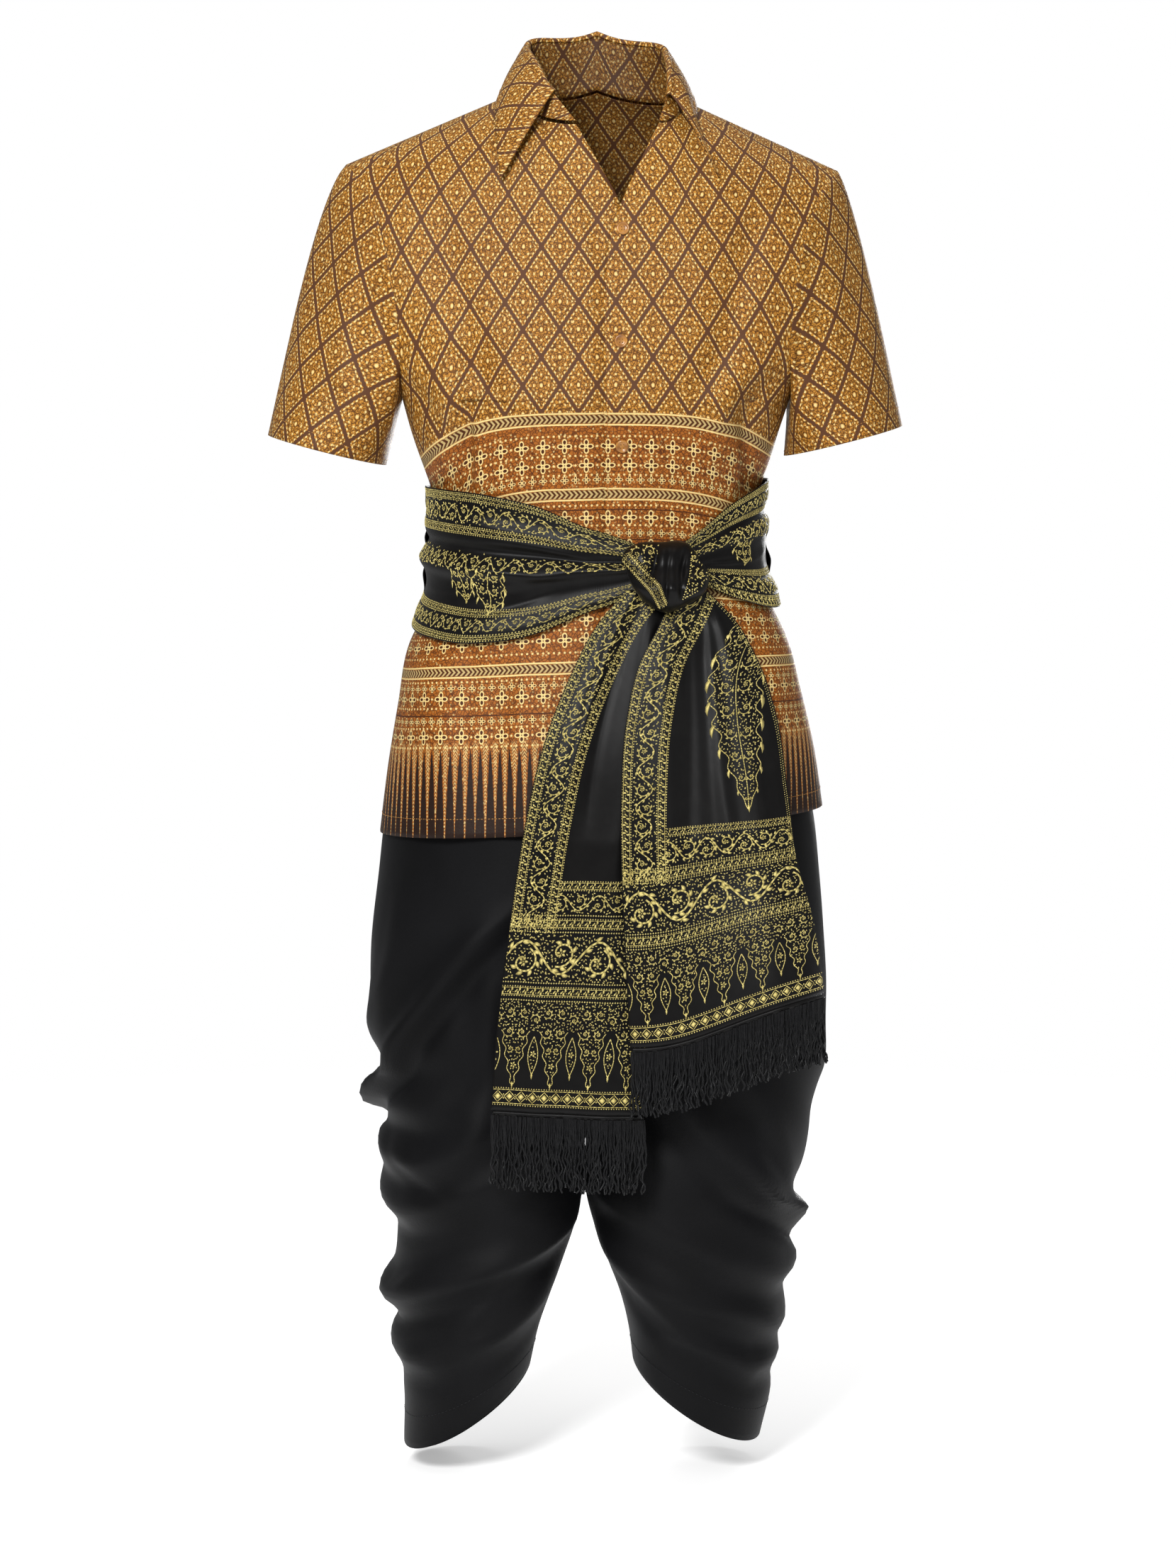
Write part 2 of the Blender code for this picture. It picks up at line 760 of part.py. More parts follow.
def left_front_point(middle, level):
    if level < ARMPIT:
        return torso_point("left", "front", middle, level)
    share = (level - ARMPIT) / (ridge("left", middle) - ARMPIT)
    return chest_point("left", "front", middle, share)


def make_button(number, level):
    """A turned disc on the left front, along the front edge."""
    share = (level - ARMPIT) / (RIDGE_HEIGHT - ARMPIT if level > ARMPIT else ARMPIT - HEM)
    middle = FRONT_EDGES.at("left", share) + BUTTON_INSET
    at = left_front_point(middle, level)
    above = left_front_point(middle, level + 5)
    across = left_front_point(middle + 5, level) - at
    out = Vector(np.cross(across, above - at)).normalized()
    radius, thick = BUTTON_RADIUS, BUTTON_THICKNESS
    profile = [(0, thick), (radius * 0.8, thick), (radius, thick * 0.55), (radius * 0.85, 0), (0, 0)]
    mesh = bpy.data.meshes.new(f"button_{number}")
    mesh.from_pydata(
        [(x * MM, 0, z * MM) for x, z in profile], [(i, i + 1) for i in range(len(profile) - 1)], []
    )
    obj = place(f"button_{number}", mesh, "button")
    turned = obj.modifiers.new("turned", "SCREW")
    turned.steps = turned.render_steps = BUTTON_SIDES
    turned.use_merge_vertices = True
    turned.merge_threshold = 0.00001
    obj.location = (Vector(at) + out * BUTTON_GAP) * MM
    obj.rotation_euler = out.to_track_quat("Z", "X").to_euler()
    return obj


# The trousers.


def leg_ring(side, level, angles):
    """One ring of a leg. Angle 0 is the outer side, -pi and pi the inner seam before and behind."""
    table = LEGS[side]
    outer, inner = table.at("outer", level), table.at("inner", level)
    pinch = np.clip(SEAT.at("pinch", level), 0, 1)
    depth = np.where(angles < 0, SEAT.at("front", level), SEAT.at("back", level))
    half = angles / 2
    power = 2 / HIP_SQUARENESS
    hip_x = inner + (outer - inner) * np.maximum(np.cos(half), 0) ** power
    hip_y = np.sign(half) * depth * np.abs(np.sin(half)) ** power
    leg_x = (outer + inner) / 2 + (outer - inner) / 2 * np.cos(angles)
    leg_y = depth * np.sin(angles)
    x = (1 - pinch) * hip_x + pinch * leg_x
    y = (1 - pinch) * hip_y + pinch * leg_y
    drop = table.at("drop_out", level) * np.cos(angles)
    drop += table.at("drop_front", level) * np.maximum(-np.sin(angles), 0)
    drop += table.at("drop_back", level) * np.maximum(np.sin(angles), 0)
    return np.stack([hand_of(side) * np.maximum(x, inner + SEAM_GAP / 2), y, level - drop], -1)


def swag_lift(side, points, angles):
    """How far the swags lift the cloth."""
    lift = np.zeros(points.shape[:2])
    seam_fade = 1 - eased((np.abs(angles) - 2.55) / 0.5)
    waist_fade = eased((-700 - points[..., 2]) / 60)
    for level, low_angle, front_climb, back_climb, height, spread in SWAGS[side]:
        low = math.radians(low_angle)
        before = np.maximum(low - angles, 0) / (math.pi + low)
        behind = np.maximum(angles - low, 0) / (math.pi - low)
        line = level + front_climb * before**SWAG_BEND + back_climb * behind**SWAG_BEND
        above = (points[..., 2] - line) / (spread * (1 + 0.7 * before + 0.9 * behind))
        above = np.where(above < 0, above * SWAG_UNDERCUT, above)
        ridge_line = np.exp(-(above**2)) - 0.45 * np.exp(-((above + 2.6) ** 2))
        lift += height * ridge_line * (1 - 0.35 * before - 0.45 * behind)
    return lift * seam_fade * waist_fade


def leg_points(side):
    """Rows from the waist to the hem, from the inner seam round the front and back to the inner seam."""
    angles = np.linspace(-math.pi, math.pi, LEG_COLUMNS + 1)
    end = LEGS[side].keys[0]
    upper = np.linspace(WAIST - SEAM_GAP, -690, HIP_ROWS + 1)[:-1]
    levels = np.concatenate([upper, np.linspace(-690, end, LEG_ROWS + 1)])
    points = np.array([leg_ring(side, level, angles) for level in levels])
    outwards = normals(points) * (1.0 if side == "right" else -1.0)
    outwards[:, (0, -1), 0] = 0
    points = points + outwards * swag_lift(side, points, angles)[..., None]
    return points if side == "right" else points[:, ::-1]


def make_leg(side):
    return cloth("trouser_leg_" + side, leg_points(side), TROUSER_CLOTH, "trouser_cloth")


def make_waistband():
    """A band of trouser cloth that carries the legs, under the shirt."""
    angles = np.linspace(0, 2 * math.pi, WAISTBAND_COLUMNS, endpoint=False)
    half = np.where(np.cos(angles) < 0, LEGS["right"].at("outer", WAIST), LEGS["left"].at("outer", WAIST))
    depth = np.where(np.sin(angles) < 0, SEAT.at("front", WAIST), SEAT.at("back", WAIST))
    power = 2 / HIP_SQUARENESS
    x = half * np.sign(np.cos(angles)) * np.abs(np.cos(angles)) ** power
    y = depth * np.sign(np.sin(angles)) * np.abs(np.sin(angles)) ** power
    flare = 1 + WAISTBAND_FLARE / LEGS["left"].at("outer", WAIST)
    low = np.stack([x, y, np.full_like(x, WAIST)], -1)
    high = np.stack([x * flare, y, np.full_like(x, WAISTBAND_TOP)], -1)
    points = np.array([low, high])
    return cloth("trouser_waistband", points, TROUSER_CLOTH, "trouser_cloth", closed=True)


def make_back_tail():
    """The drawn-through end of the cloth, pleated and tucked into the back of the waist."""
    count = BACK_TAIL_PLEATS * 4
    across = np.linspace(-1, 1, count + 1)
    angles = np.linspace(0.5, math.pi, 60)
    rows = []
    for level in np.linspace(BACK_TAIL_END, BACK_TAIL_TOP, BACK_TAIL_ROWS + 1):
        share = (level - BACK_TAIL_END) / (BACK_TAIL_TOP - BACK_TAIL_END)
        half = 14 + 30 * eased(share * 1.4)
        pleat = 1.1 * np.cos(across * math.pi * BACK_TAIL_PLEATS) * (1 - 0.6 * share)
        x = across * half - 8 * (1 - share)
        right, left = leg_ring("right", level, angles), leg_ring("left", level, angles)
        seat = np.where(
            x < right[-1, 0],
            np.interp(-x, -right[::-1, 0], right[::-1, 1]),
            np.interp(x, left[::-1, 0], left[::-1, 1]),
        )
        drawn = 0.9 + TROUSER_CLOTH + 5 * eased((1 - share) * 3)
        y = seat.max() * 0.4 + seat * 0.6 + drawn + pleat
        rows.append(np.stack([x, y, np.full(count + 1, level)], -1))
    return cloth("trouser_back_tail", np.array(rows)[:, ::-1], TROUSER_CLOTH, "trouser_cloth")


# The sash.


def waist_ring(level, angles, lift):
    """Points round the shirt at the waist, moved out by lift."""
    cosine, sine = np.cos(angles), np.sin(angles)
    power = 2 / TORSO.at("square", level)
    half = np.where(cosine < 0, TORSO.at("right", level), TORSO.at("left", level)) + lift
    depth = np.where(sine < 0, TORSO.at("front", level), TORSO.at("back", level)) + lift
    x = half * np.sign(cosine) * np.abs(cosine) ** power
    y = depth * np.sign(sine) * np.abs(sine) ** power
    tilt = HEM_TILT * (level - ARMPIT) / (HEM - ARMPIT)
    return np.stack(np.broadcast_arrays(x, y, level + tilt * x), -1)


def make_wrap(name, edges, relief, columns, gathers):
    """One stretch of the sash. gathers is how far its folds are drawn flat where it enters the knot."""
    degrees = np.linspace(edges.keys[0], edges.keys[-1], columns + 1)
    end_gap = math.degrees(SEAM_GAP / 2 / 150)
    degrees[0] += end_gap
    degrees[-1] -= end_gap
    angles = np.radians(degrees)
    across = np.linspace(1, 0, WRAP_ROWS + 1)
    rows = []
    for share in across:
        level = edges.at("top", degrees) + (edges.at("bottom", degrees) - edges.at("top", degrees)) * share
        lift = SASH_CLOTH + 0.2 + relief.at("lift", share) * gathers(degrees)
        rows.append(waist_ring(level, angles, lift))
    return cloth(name, np.array(rows), SASH_CLOTH, "brocade")


# The knot's outline round its centre, as shares of its radii (0 to the wearer's left, 90 up), and its front.
KNOT = Table(
    "degrees reach",
    (-180, 0.82),
    (-165, 0.76),
    (-125, 0.74),
    (-90, 0.84),
    (-55, 0.80),
    (-18, 0.96),
    (8, 1.0),
    (36, 0.95),
    (63, 1.07),
    (98, 1.0),
    (125, 1.16),
    (144, 1.20),
    (163, 0.94),
    (180, 0.82),
)


def knot_rim(x, z):
    """The knot's rim leans round the waist, and its lower lip stands over the hanging ends."""
    lip = KNOT_LIP * float(eased((-412.0 - z) / 24))
    return KNOT_CENTRE[1] + KNOT_TURN * (x - KNOT_CENTRE[0]) - lip


def knot_point(across, up, off=0.0):
    """A point of the knot's front. across and up run from -1 to 1 over the round face."""
    reach = min(math.hypot(across, up), 1.0)
    degrees = math.degrees(math.atan2(up, across))
    outline = float(KNOT.at("reach", degrees)) * reach * (1 + off / KNOT_RADII[0])
    turn = math.radians(degrees)
    bulge = math.sqrt(max(1 - reach**2.4, 0.0))
    crease = math.exp(-(((across * 0.9 + up * 0.45 - 0.52) / 0.11) ** 2)) * 0.16
    x = KNOT_CENTRE[0] + KNOT_RADII[0] * outline * math.cos(turn)
    z = KNOT_CENTRE[2] + KNOT_RADII[2] * outline * math.sin(turn)
    y = knot_rim(x, z) - KNOT_RADII[1] * bulge * (1 - crease) - off
    return Vector((x, y, z))


def make_knot():
    """The bundled knot: a ball of cloth, round in front and flat behind."""
    shape = bmesh.new()
    bmesh.ops.create_uvsphere(shape, u_segments=24, v_segments=14, radius=1.0)
    for vertex in shape.verts:
        x, y, z = vertex.co.x, vertex.co.z, vertex.co.y
        reach = math.sqrt(max(1 - y * y, 0.0))
        flat = math.hypot(x, z) or 1.0
        point = knot_point(x / flat * reach, z / flat * reach)
        if y <= 0:
            point.y = knot_rim(point.x, point.z) + KNOT_BACK * (1 - reach**2)
        vertex.co = point * MM
    bmesh.ops.recalc_face_normals(shape, faces=shape.faces)
    mesh = bpy.data.meshes.new("sash_knot")
    shape.to_mesh(mesh)
    shape.free()
    return place("sash_knot", mesh, "brocade")


def make_knot_band():
    """The turn of the sash that crosses the knot from its top corner on the wearer's right."""
    rows = []
    for share in np.linspace(0, 1, KNOT_BAND_STEPS + 1):
        x = -0.76 + 0.70 * share
        z = 0.52 - 1.26 * share + 0.04 * math.sin(math.pi * share)
        row = []
        for side in (-1.0, -0.33, 0.33, 1.0):
            wide = KNOT_BAND_WIDTH / 2 / KNOT_RADII[0] * side * (0.75 + 0.35 * math.sin(math.pi * share))
            raised = 0.6 + SASH_CLOTH + 1.2 * (1 - side * side) + 1.6 * share**3
            row.append(knot_point(x + wide * 0.81, z + wide * 0.58, raised))
        rows.append(row)
    points = np.array(rows)
    if normals(points)[4, 1, 1] > 0:
        points = points[:, ::-1]
    return cloth("sash_knot_band", points, SASH_CLOTH, "brocade")


def dress_front(x, level):
    """How far forward the dress stands at a place on the front, as a negative Y."""
    half = np.where(x < 0, TORSO.at("right", level), TORSO.at("left", level))
    square = TORSO.at("square", level)
    return -TORSO.at("front", level) * np.maximum(1 - np.abs(x / half) ** square, 0.0) ** (1 / square)


def tail_point(side, share, down):
    """A point of a hanging end. share runs from its inner to its outer edge and down from knot to fringe."""
    table = TAILS[side]
    top, end = table.keys[-1], table.keys[0]
    level = top + (end - top) * down
    inner, outer = table.at("inner", level), table.at("outer", level)
    x = inner + (outer - inner) * share
    rise = TAIL_END_RISE[side] * eased(share) * eased((down - 0.35) / 0.65)
    off = table.at("off_inner", level) + (table.at("off_outer", level) - table.at("off_inner", level)) * share
    y = dress_front(x, level) - off
    for centre, lift, spread, fade in TAIL_FOLDS[side]:
        strength = (0.4 + 0.6 * eased(down * 7)) * (1 - fade * down * 0.6)
        y = y - lift * strength * np.exp(-(((share - centre) / spread) ** 2))
    return np.stack(np.broadcast_arrays(x, y, level + rise), -1)


def make_tail(side):
    share = np.linspace(0, 1, TAIL_COLUMNS + 1)
    points = np.array([tail_point(side, share, down) for down in np.linspace(1, 0, TAIL_ROWS + 1)])
    if normals(points)[0, 0, 1] > 0:
        points = points[:, ::-1]
    return cloth("sash_tail_" + side, points, SASH_CLOTH, "brocade")


def make_fringe(side):
    """Yarn strands that hang from a strip along the end of the sash."""
    count, length = FRINGES[side]
    share = np.linspace(0.005, 0.995, 2 * count)
    corners = tail_point(side, np.linspace(0, 1, TAIL_COLUMNS + 1), 1.0)
    steps = np.linspace(0, 1, TAIL_COLUMNS + 1)
    edge = np.stack([np.interp(share, steps, corners[:, axis]) for axis in range(3)], -1)
    along = np.gradient(edge, axis=0)
    along /= np.linalg.norm(along, axis=1, keepdims=True)
    inwards = np.cross(along, (0, 0, 1.0))
    inwards *= np.sign(inwards[:, 1:2])
    shape = bmesh.new()
    sections = []
    for point, inward in zip(edge, inwards, strict=True):
        top = point - (0, 0, SEAM_GAP)
        low = top - (0, 0, FRINGE_STRIP)
        corners = (top, top + inward * SASH_CLOTH, low + inward * SASH_CLOTH, low)
        sections.append([shape.verts.new(corner) for corner in corners])
    strands = []
    for i in range(len(sections) - 1):
        here, there = sections[i], sections[i + 1]
        for a in range(4):
            b = (a + 1) % 4
            face = shape.faces.new((here[a], here[b], there[b], there[a]))
            if a == 2 and i % 2 == 0:
                strands.append(face)
    shape.faces.new(sections[0][::-1])
    shape.faces.new(sections[-1])
    for row in range(STRAND_ROWS):
        strands = bmesh.ops.extrude_discrete_faces(shape, faces=strands)["faces"]
        for i, face in enumerate(strands):
            sway = Vector(
                (0.3 * math.sin(i * 2.4 + row * 0.8), 1.2 * math.cos(i * 1.7 + row), -length / STRAND_ROWS)
            )
            middle = face.calc_center_median()
            slim = 0.82 if row < STRAND_ROWS - 1 else 0.6
            uneven = 1 + 0.05 * math.sin(i * 5.1) if row == STRAND_ROWS - 1 else 1.0
            for vertex in face.verts:
                vertex.co = middle + (vertex.co - middle) * slim + sway * uneven
    bmesh.ops.recalc_face_normals(shape, faces=shape.faces)
    shape.transform(Matrix.Scale(MM, 4))
    mesh = bpy.data.meshes.new("sash_fringe_" + side)
    shape.to_mesh(mesh)
    shape.free()
    return place("sash_fringe_" + side, mesh, "fringe_yarn")


def gathered_to_knot(degrees):
    return 1 - 0.45 * eased((degrees + 110) / 30)


def gathered_from_knot(degrees):
    return 1 - 0.45 * eased((-30 - degrees) / 28)


def level_folds(degrees):
    return np.ones_like(degrees)


def make_dress():
    for side in ("right", "left"):
        make_front(side)
        make_sleeve(side)
        make_leg(side)
        make_tail(side)
        make_fringe(side)
    make_back()
    make_collar_stand()
    make_collar_leaf()
    for number, level in enumerate(BUTTON_LEVELS, 1):
        make_button(number, level)
    make_waistband()
    make_back_tail()
    make_wrap(
        "sash_front_right",
        WRAP_FRONT_RIGHT,
        WRAP_FRONT_RIGHT_RELIEF,
        WRAP_FRONT_RIGHT_COLUMNS,
        gathered_to_knot,
    )
    make_wrap(
        "sash_front_left",
        WRAP_FRONT_LEFT,
        WRAP_FRONT_LEFT_RELIEF,
        WRAP_FRONT_LEFT_COLUMNS,
        gathered_from_knot,
    )
    make_wrap("sash_back", WRAP_BACK, WRAP_BACK_RELIEF, WRAP_BACK_COLUMNS, level_folds)
    make_knot()
    make_knot_band()


clear_scene()
FINISH = make_finishes()
DRESS = bpy.data.collections.new("thai_dress_set")
bpy.context.scene.collection.children.link(DRESS)
make_dress()
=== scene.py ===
"""The looks of a worn Thai man's dress set: printed shirt, knotted brocade sash and draped black trousers.

Tables and shapes are in millimetres and degrees, as in the part's source, and meshes are in metres. "right"
and "left" are the wearer's. A cloth's UV map gives each place on it, in metres along and across the weave.
"""

import math

import bmesh
import bpy
import numpy as np
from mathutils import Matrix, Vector


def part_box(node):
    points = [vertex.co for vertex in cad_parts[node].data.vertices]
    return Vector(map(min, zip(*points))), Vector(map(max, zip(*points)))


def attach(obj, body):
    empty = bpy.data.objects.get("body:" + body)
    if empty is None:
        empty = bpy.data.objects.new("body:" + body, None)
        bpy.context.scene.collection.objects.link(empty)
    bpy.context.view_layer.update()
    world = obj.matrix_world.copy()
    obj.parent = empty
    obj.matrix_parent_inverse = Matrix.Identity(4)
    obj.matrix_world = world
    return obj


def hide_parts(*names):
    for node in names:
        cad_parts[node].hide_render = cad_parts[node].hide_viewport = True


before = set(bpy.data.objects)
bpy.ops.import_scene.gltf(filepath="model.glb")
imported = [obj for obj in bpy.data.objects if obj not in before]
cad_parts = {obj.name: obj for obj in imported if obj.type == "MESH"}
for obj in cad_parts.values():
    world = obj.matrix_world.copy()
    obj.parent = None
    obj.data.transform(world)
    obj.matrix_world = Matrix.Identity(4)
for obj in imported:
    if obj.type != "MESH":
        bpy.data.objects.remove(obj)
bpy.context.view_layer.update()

MM = 0.001

# The camera stands in front with its eye a little above the middle of the dress.
CAMERA_PLACE = (-0.0081, -4.5, -0.162)
CAMERA_TARGET = (-0.0081, 0.0, -0.621)
CAMERA_LENS = 113.26

# Walls of the cloth that shows, thinner than the solids' walls.
SHIRT_CLOTH = 0.9
COLLAR_CLOTH = 1.3
TROUSER_CLOTH = 1.2
SASH_CLOTH = 1.0
SEAM_GAP = 0.4

# The shirt's body, as in the part's source.
ARMPIT = -268.0
HEM = -651.0
HEM_TILT = 0.06
RIDGE_HEIGHT = 38.0
LEFT_SHOULDER_LOWER = 2.7
SHOULDER_SLOPE = {"right": 0.42, "left": 0.452}
SHOULDER_TIP = 227.0
LEFT_TIP_SHORTER = 9.0
NECK_POINT = 84.0
FRONT_NECK_DROP = -22.0
BACK_NECK_DEPTH = 55.0
SHOULDER_ROLL = 2.2
BUTTON_LAP = 32.0
LAP_DEPTH = 2.8
PANEL_ROWS_BELOW = 84
PANEL_ROWS_ABOVE = 58
PANEL_COLUMNS = 60

# The sleeves.
SLEEVE_ROWS = 60
SLEEVE_LENGTH = 265.0
SLEEVE_GIRTH = 396.0
SLEEVE_HEAD = {"right": 9.5, "left": 5.0}
CUFF_HALF_WIDTH = 55.5
CUFF_HALF_DEPTH = 68.0
CUFF_TILT = 14.3
BUTTON_LEVELS = (-116.0, -215.0, -308.0, -500.0, -596.0)
BUTTON_INSET = 16.0
CUFFS = {"right": (-245.5, -315.0), "left": (224.0, -306.5)}

# The collar.
COLLAR_COLUMNS = 120
STAND_ROWS = 10
LEAF_ROWS = 20
COLLAR_ROLL = 3.0
COLLAR_SOLID = 1.6

# The trousers.
WAISTBAND_TOP = -385.0
WAIST = -425.0
WAISTBAND_COLUMNS = 96
WAISTBAND_FLARE = 2.2
HIP_SQUARENESS = 2.3
LEG_COLUMNS = 104
LEG_ROWS = 150
BACK_TAIL_TOP = -427.0
BACK_TAIL_END = -925.0
BACK_TAIL_ROWS = 90
BACK_TAIL_PLEATS = 3
BACK_TAIL_COLUMNS = 48

# The sash.
WRAP_ROWS = 60
KNOT_CENTRE = (61.0, -105.6, -427.0)
KNOT_RADII = (39.0, 26.0, 34.0)
KNOT_BACK = 2.0
KNOT_TURN = 0.22
KNOT_LIP = 14.0
KNOT_BAND_WIDTH = 16.0
TAIL_COLUMNS = 60
TAIL_ROWS = 130


class Table:
    """Rows of sizes under named columns. The first column is the key; the others are smooth curves."""

    def __init__(self, columns, *rows):
        self.columns = columns.split()
        self.rows = np.array(sorted(rows), float)
        self.keys = self.rows[:, 0]

    def at(self, name, key):
        values = self.rows[:, self.columns.index(name)]
        slopes = np.gradient(values, self.keys)
        key = np.clip(np.asarray(key, float), self.keys[0], self.keys[-1])
        i = np.clip(np.searchsorted(self.keys, key) - 1, 0, len(self.keys) - 2)
        span = self.keys[i + 1] - self.keys[i]
        t = (key - self.keys[i]) / span
        return (
            values[i] * (1 + 2 * t) * (1 - t) ** 2
            + slopes[i] * span * t * (1 - t) ** 2
            + values[i + 1] * t * t * (3 - 2 * t)
            + slopes[i + 1] * span * t * t * (t - 1)
        )


# Half widths of the shirt to each side, its depths before and behind the side seams, and how square it is.
TORSO = Table(
    "level right left front back square",
    (-660, 200, 208, 135, 134, 2.3),
    (-591, 191, 198, 128, 128, 2.3),
    (-539, 182, 186, 120, 121, 2.3),
    (-487, 172, 172, 111, 110, 2.3),
    (-455, 157, 158, 106, 103, 2.3),
    (-400, 148, 148, 103, 96, 2.3),
    (-345, 152, 151, 107, 100, 2.3),
    (-331, 157, 156, 110, 103, 2.35),
    (-300, 168, 165, 116, 109, 2.5),
    (ARMPIT, 177, 175, 121, 115, 2.8),
)

# Above the armpit: the armhole's edge, the width that the chest's curve would close at, and how square it is.
CHEST = Table(
    "share armhole closing square",
    (0.0, 176, 176, 2.8),
    (0.06, 175, 186, 2.75),
    (0.14, 175, 202, 2.7),
    (0.37, 179, 230, 2.5),
    (0.5, 184, 243, 2.4),
    (0.75, 198, 254, 2.3),
    (0.9, 212, 259, 2.3),
    (1.0, SHOULDER_TIP, 262, 2.3),
)

# The front edges, measured outwards from the middle on each panel's own side, from hem (-1) to neck (1).
FRONT_EDGES = Table(
    "share right left",
    (-1.0, -37, 7),
    (-0.5, -36, 7),
    (0.0, -36, 6),
    (0.45, -34, 6),
    (0.57, -30, 9),
    (0.71, -21, 21),
    (0.86, -1, 38),
    (1.0, 19, 55),
)

# Soft troughs and ridges of the shirt's front: where each starts and ends, and how far it leans.
# Each fold's x, top, bottom, lean, lift and spread.
SHIRT_FRONT_FOLDS = (
    (-100, -200, -340, 0.20, -6.0, 17),
    (-128, -230, -300, 0.10, 4.0, 15),
    (136, -240, -340, -0.02, -5.5, 15),
    (112, -220, -300, 0.02, 3.5, 17),
    (-146, -85, -225, -0.25, -4.5, 16),
    (146, -85, -235, 0.25, -5.0, 15),
    (-150, -480, -760, -0.05, 4.0, 22),
    (-95, -480, -760, -0.02, -3.0, 22),
    (165, -470, -760, 0.06, 3.0, 20),
)
SHIRT_BACK_FOLDS = (
    (-70, -250, -335, 0.10, -5.0, 18),
    (75, -240, -335, -0.08, -5.0, 18),
    (-105, -470, -760, -0.08, 5.0, 24),
    (5, -470, -760, 0.0, 4.5, 26),
    (110, -470, -760, 0.08, 5.0, 24),
    (-142, -85, -240, -0.2, -4.0, 18),
    (142, -85, -240, 0.2, -4.0, 18),
)

# The collar from its right front end (-1) round the back (0) to its left front end (1): how far the fold
# line stands above the neck seam, and how far it leans.
COLLAR_FOLD = Table(
    "around rise across behind",
    (-1.0, 26, -19, 8),
    (-0.75, 37, 13, 6),
    (-0.5, 42, 22, 8),
    (-0.25, 53, 9, 0),
    (0.0, 52, 0, 1),
    (0.25, 53, -11, 0),
    (0.5, 43, -23, 8),
    (0.75, 36, -12, 6),
    (1.0, 24, 8, 8),
)
# The leaf's lower edge, as a place on the shirt (distance from the middle, share of the height to the
# shoulder) and its distance off it.
COLLAR_EDGE = Table(
    "around middle height off",
    (-1.0, 86, 0.71, 9),
    (-0.75, 91, 0.89, 6),
    (-0.5, 88, 1.0, 4),
    (-0.25, 64, 0.93, 7),
    (0.0, 0, 0.875, 7),
    (0.25, 64, 0.93, 7),
    (0.5, 88, 1.0, 4),
    (0.75, 91, 0.91, 6),
    (1.0, 109, 0.76, 9),
)

# The trousers, by the height of each ring's centre: depths before and behind the side, and how far the two
# legs are drawn together (0 at the hips, 1 from the crotch down).
SEAT = Table(
    "level front back pinch",
    (-425, 97, 92, 0.0),
    (-500, 104, 98, 0.0),
    (-560, 113, 107, 0.0),
    (-620, 121, 113, 0.0),
    (-665, 125, 117, 0.0),
    (-710, 129, 121, 0.02),
    (-760, 131, 124, 0.08),
    (-820, 129, 124, 0.25),
    (-880, 124, 120, 0.50),
    (-930, 118, 114, 0.74),
    (-970, 112, 108, 0.93),
    (-990, 109, 105, 1.0),
    (-1030, 101, 97, 1.0),
    (-1072, 93, 89, 1.0),
    (-1110, 85, 82, 1.0),
    (-1150, 76, 74, 1.0),
    (-1190, 67, 65, 1.0),
)
# Each leg: outer and inner side from the middle, and how far the ring drops outwards, before and behind.
LEGS = {
    "right": Table(
        "level outer inner drop_out drop_front drop_back",
        (-425, 143, 0, 0, 0, 0),
        (-460, 149, 0, 0, 0, 0),
        (-500, 161, 0, 0, 0, 0),
        (-560, 178, 0, 0, 0, 0),
        (-620, 190, 1, 0, 0, 0),
        (-663, 196, 2, 0, 0, 0),
        (-700, 200, 3, 0, 0, 0),
        (-750, 206, 4, 0, 0, 0),
        (-815, 210, 6, 0, 0, 0),
        (-850, 209, 7, 0, 0, 0),
        (-880, 196, 8, 0, 0, 0),
        (-907, 204, 9, 0, 0, 0),
        (-932, 192, 10, 0, 0, 0),
        (-960, 200, 11, 0, 0, 0),
        (-990, 196, 12, 1, 0, 0),
        (-1029, 185, 19, 5, 1, 4),
        (-1072, 189, 31, 12, 4, 13),
        (-1110, 187, 42, 20, 8, 24),
        (-1150, 179, 53, 29, 12, 35),
        (-1193, 179, 61, 38, 15, 45),
    ),
    "left": Table(
        "level outer inner drop_out drop_front drop_back",
        (-425, 143, 0, 0, 0, 0),
        (-460, 149, 0, 0, 0, 0),
        (-500, 162, 0, 0, 0, 0),
        (-560, 181, 0, 0, 0, 0),
        (-620, 193, -1, 0, 0, 0),
        (-645, 198, -2, 0, 0, 0),
        (-700, 204, -3, 0, 0, 0),
        (-750, 208, -4, 0, 0, 0),
        (-815, 211, -6, 0, 0, 0),
        (-880, 205, -8, 0, 0, 0),
        (-935, 197, -10, 0, 0, 0),
        (-970, 189, -11, 1, 0, 0),
        (-994, 178, -11, 2, 0, 0),
        (-1030, 184, -4, 6, 1, 4),
        (-1072, 174, 9, 13, 5, 12),
        (-1110, 166, 21, 20, 9, 22),
        (-1150, 162, 29, 28, 13, 33),
        (-1187, 152, 33, 35, 16, 41),
    ),
}
# Swags that hang round the outside of each leg: lowest point, its angle from the outer side (front is
# minus), how far the swag climbs to the inner seam before and behind, and its lift and height.
# Each swag's level, angle, climb before, climb behind, lift and spread.
SWAGS = {
    "right": (
        (-846, 8, 285, 150, 2.0, 18),
        (-910, 8, 260, 150, 15.0, 13),
        (-957, -52, 120, 120, 8.0, 17),
        (-1006, -34, 110, 110, 6.0, 15),
        (-1090, -16, 95, 90, 13.0, 15),
        (-1146, -58, 85, 70, 5.0, 14),
    ),
    "left": (
        (-880, 6, 240, 140, 5.0, 28),
        (-1020, 6, 215, 130, 16.0, 15),
        (-1066, -28, 110, 100, 5.0, 14),
        (-1116, -20, 95, 90, 6.0, 14),
        (-1150, -46, 130, 80, 6.0, 14),
    ),
}
SWAG_BEND = 1.35
SWAG_UNDERCUT = 1.7

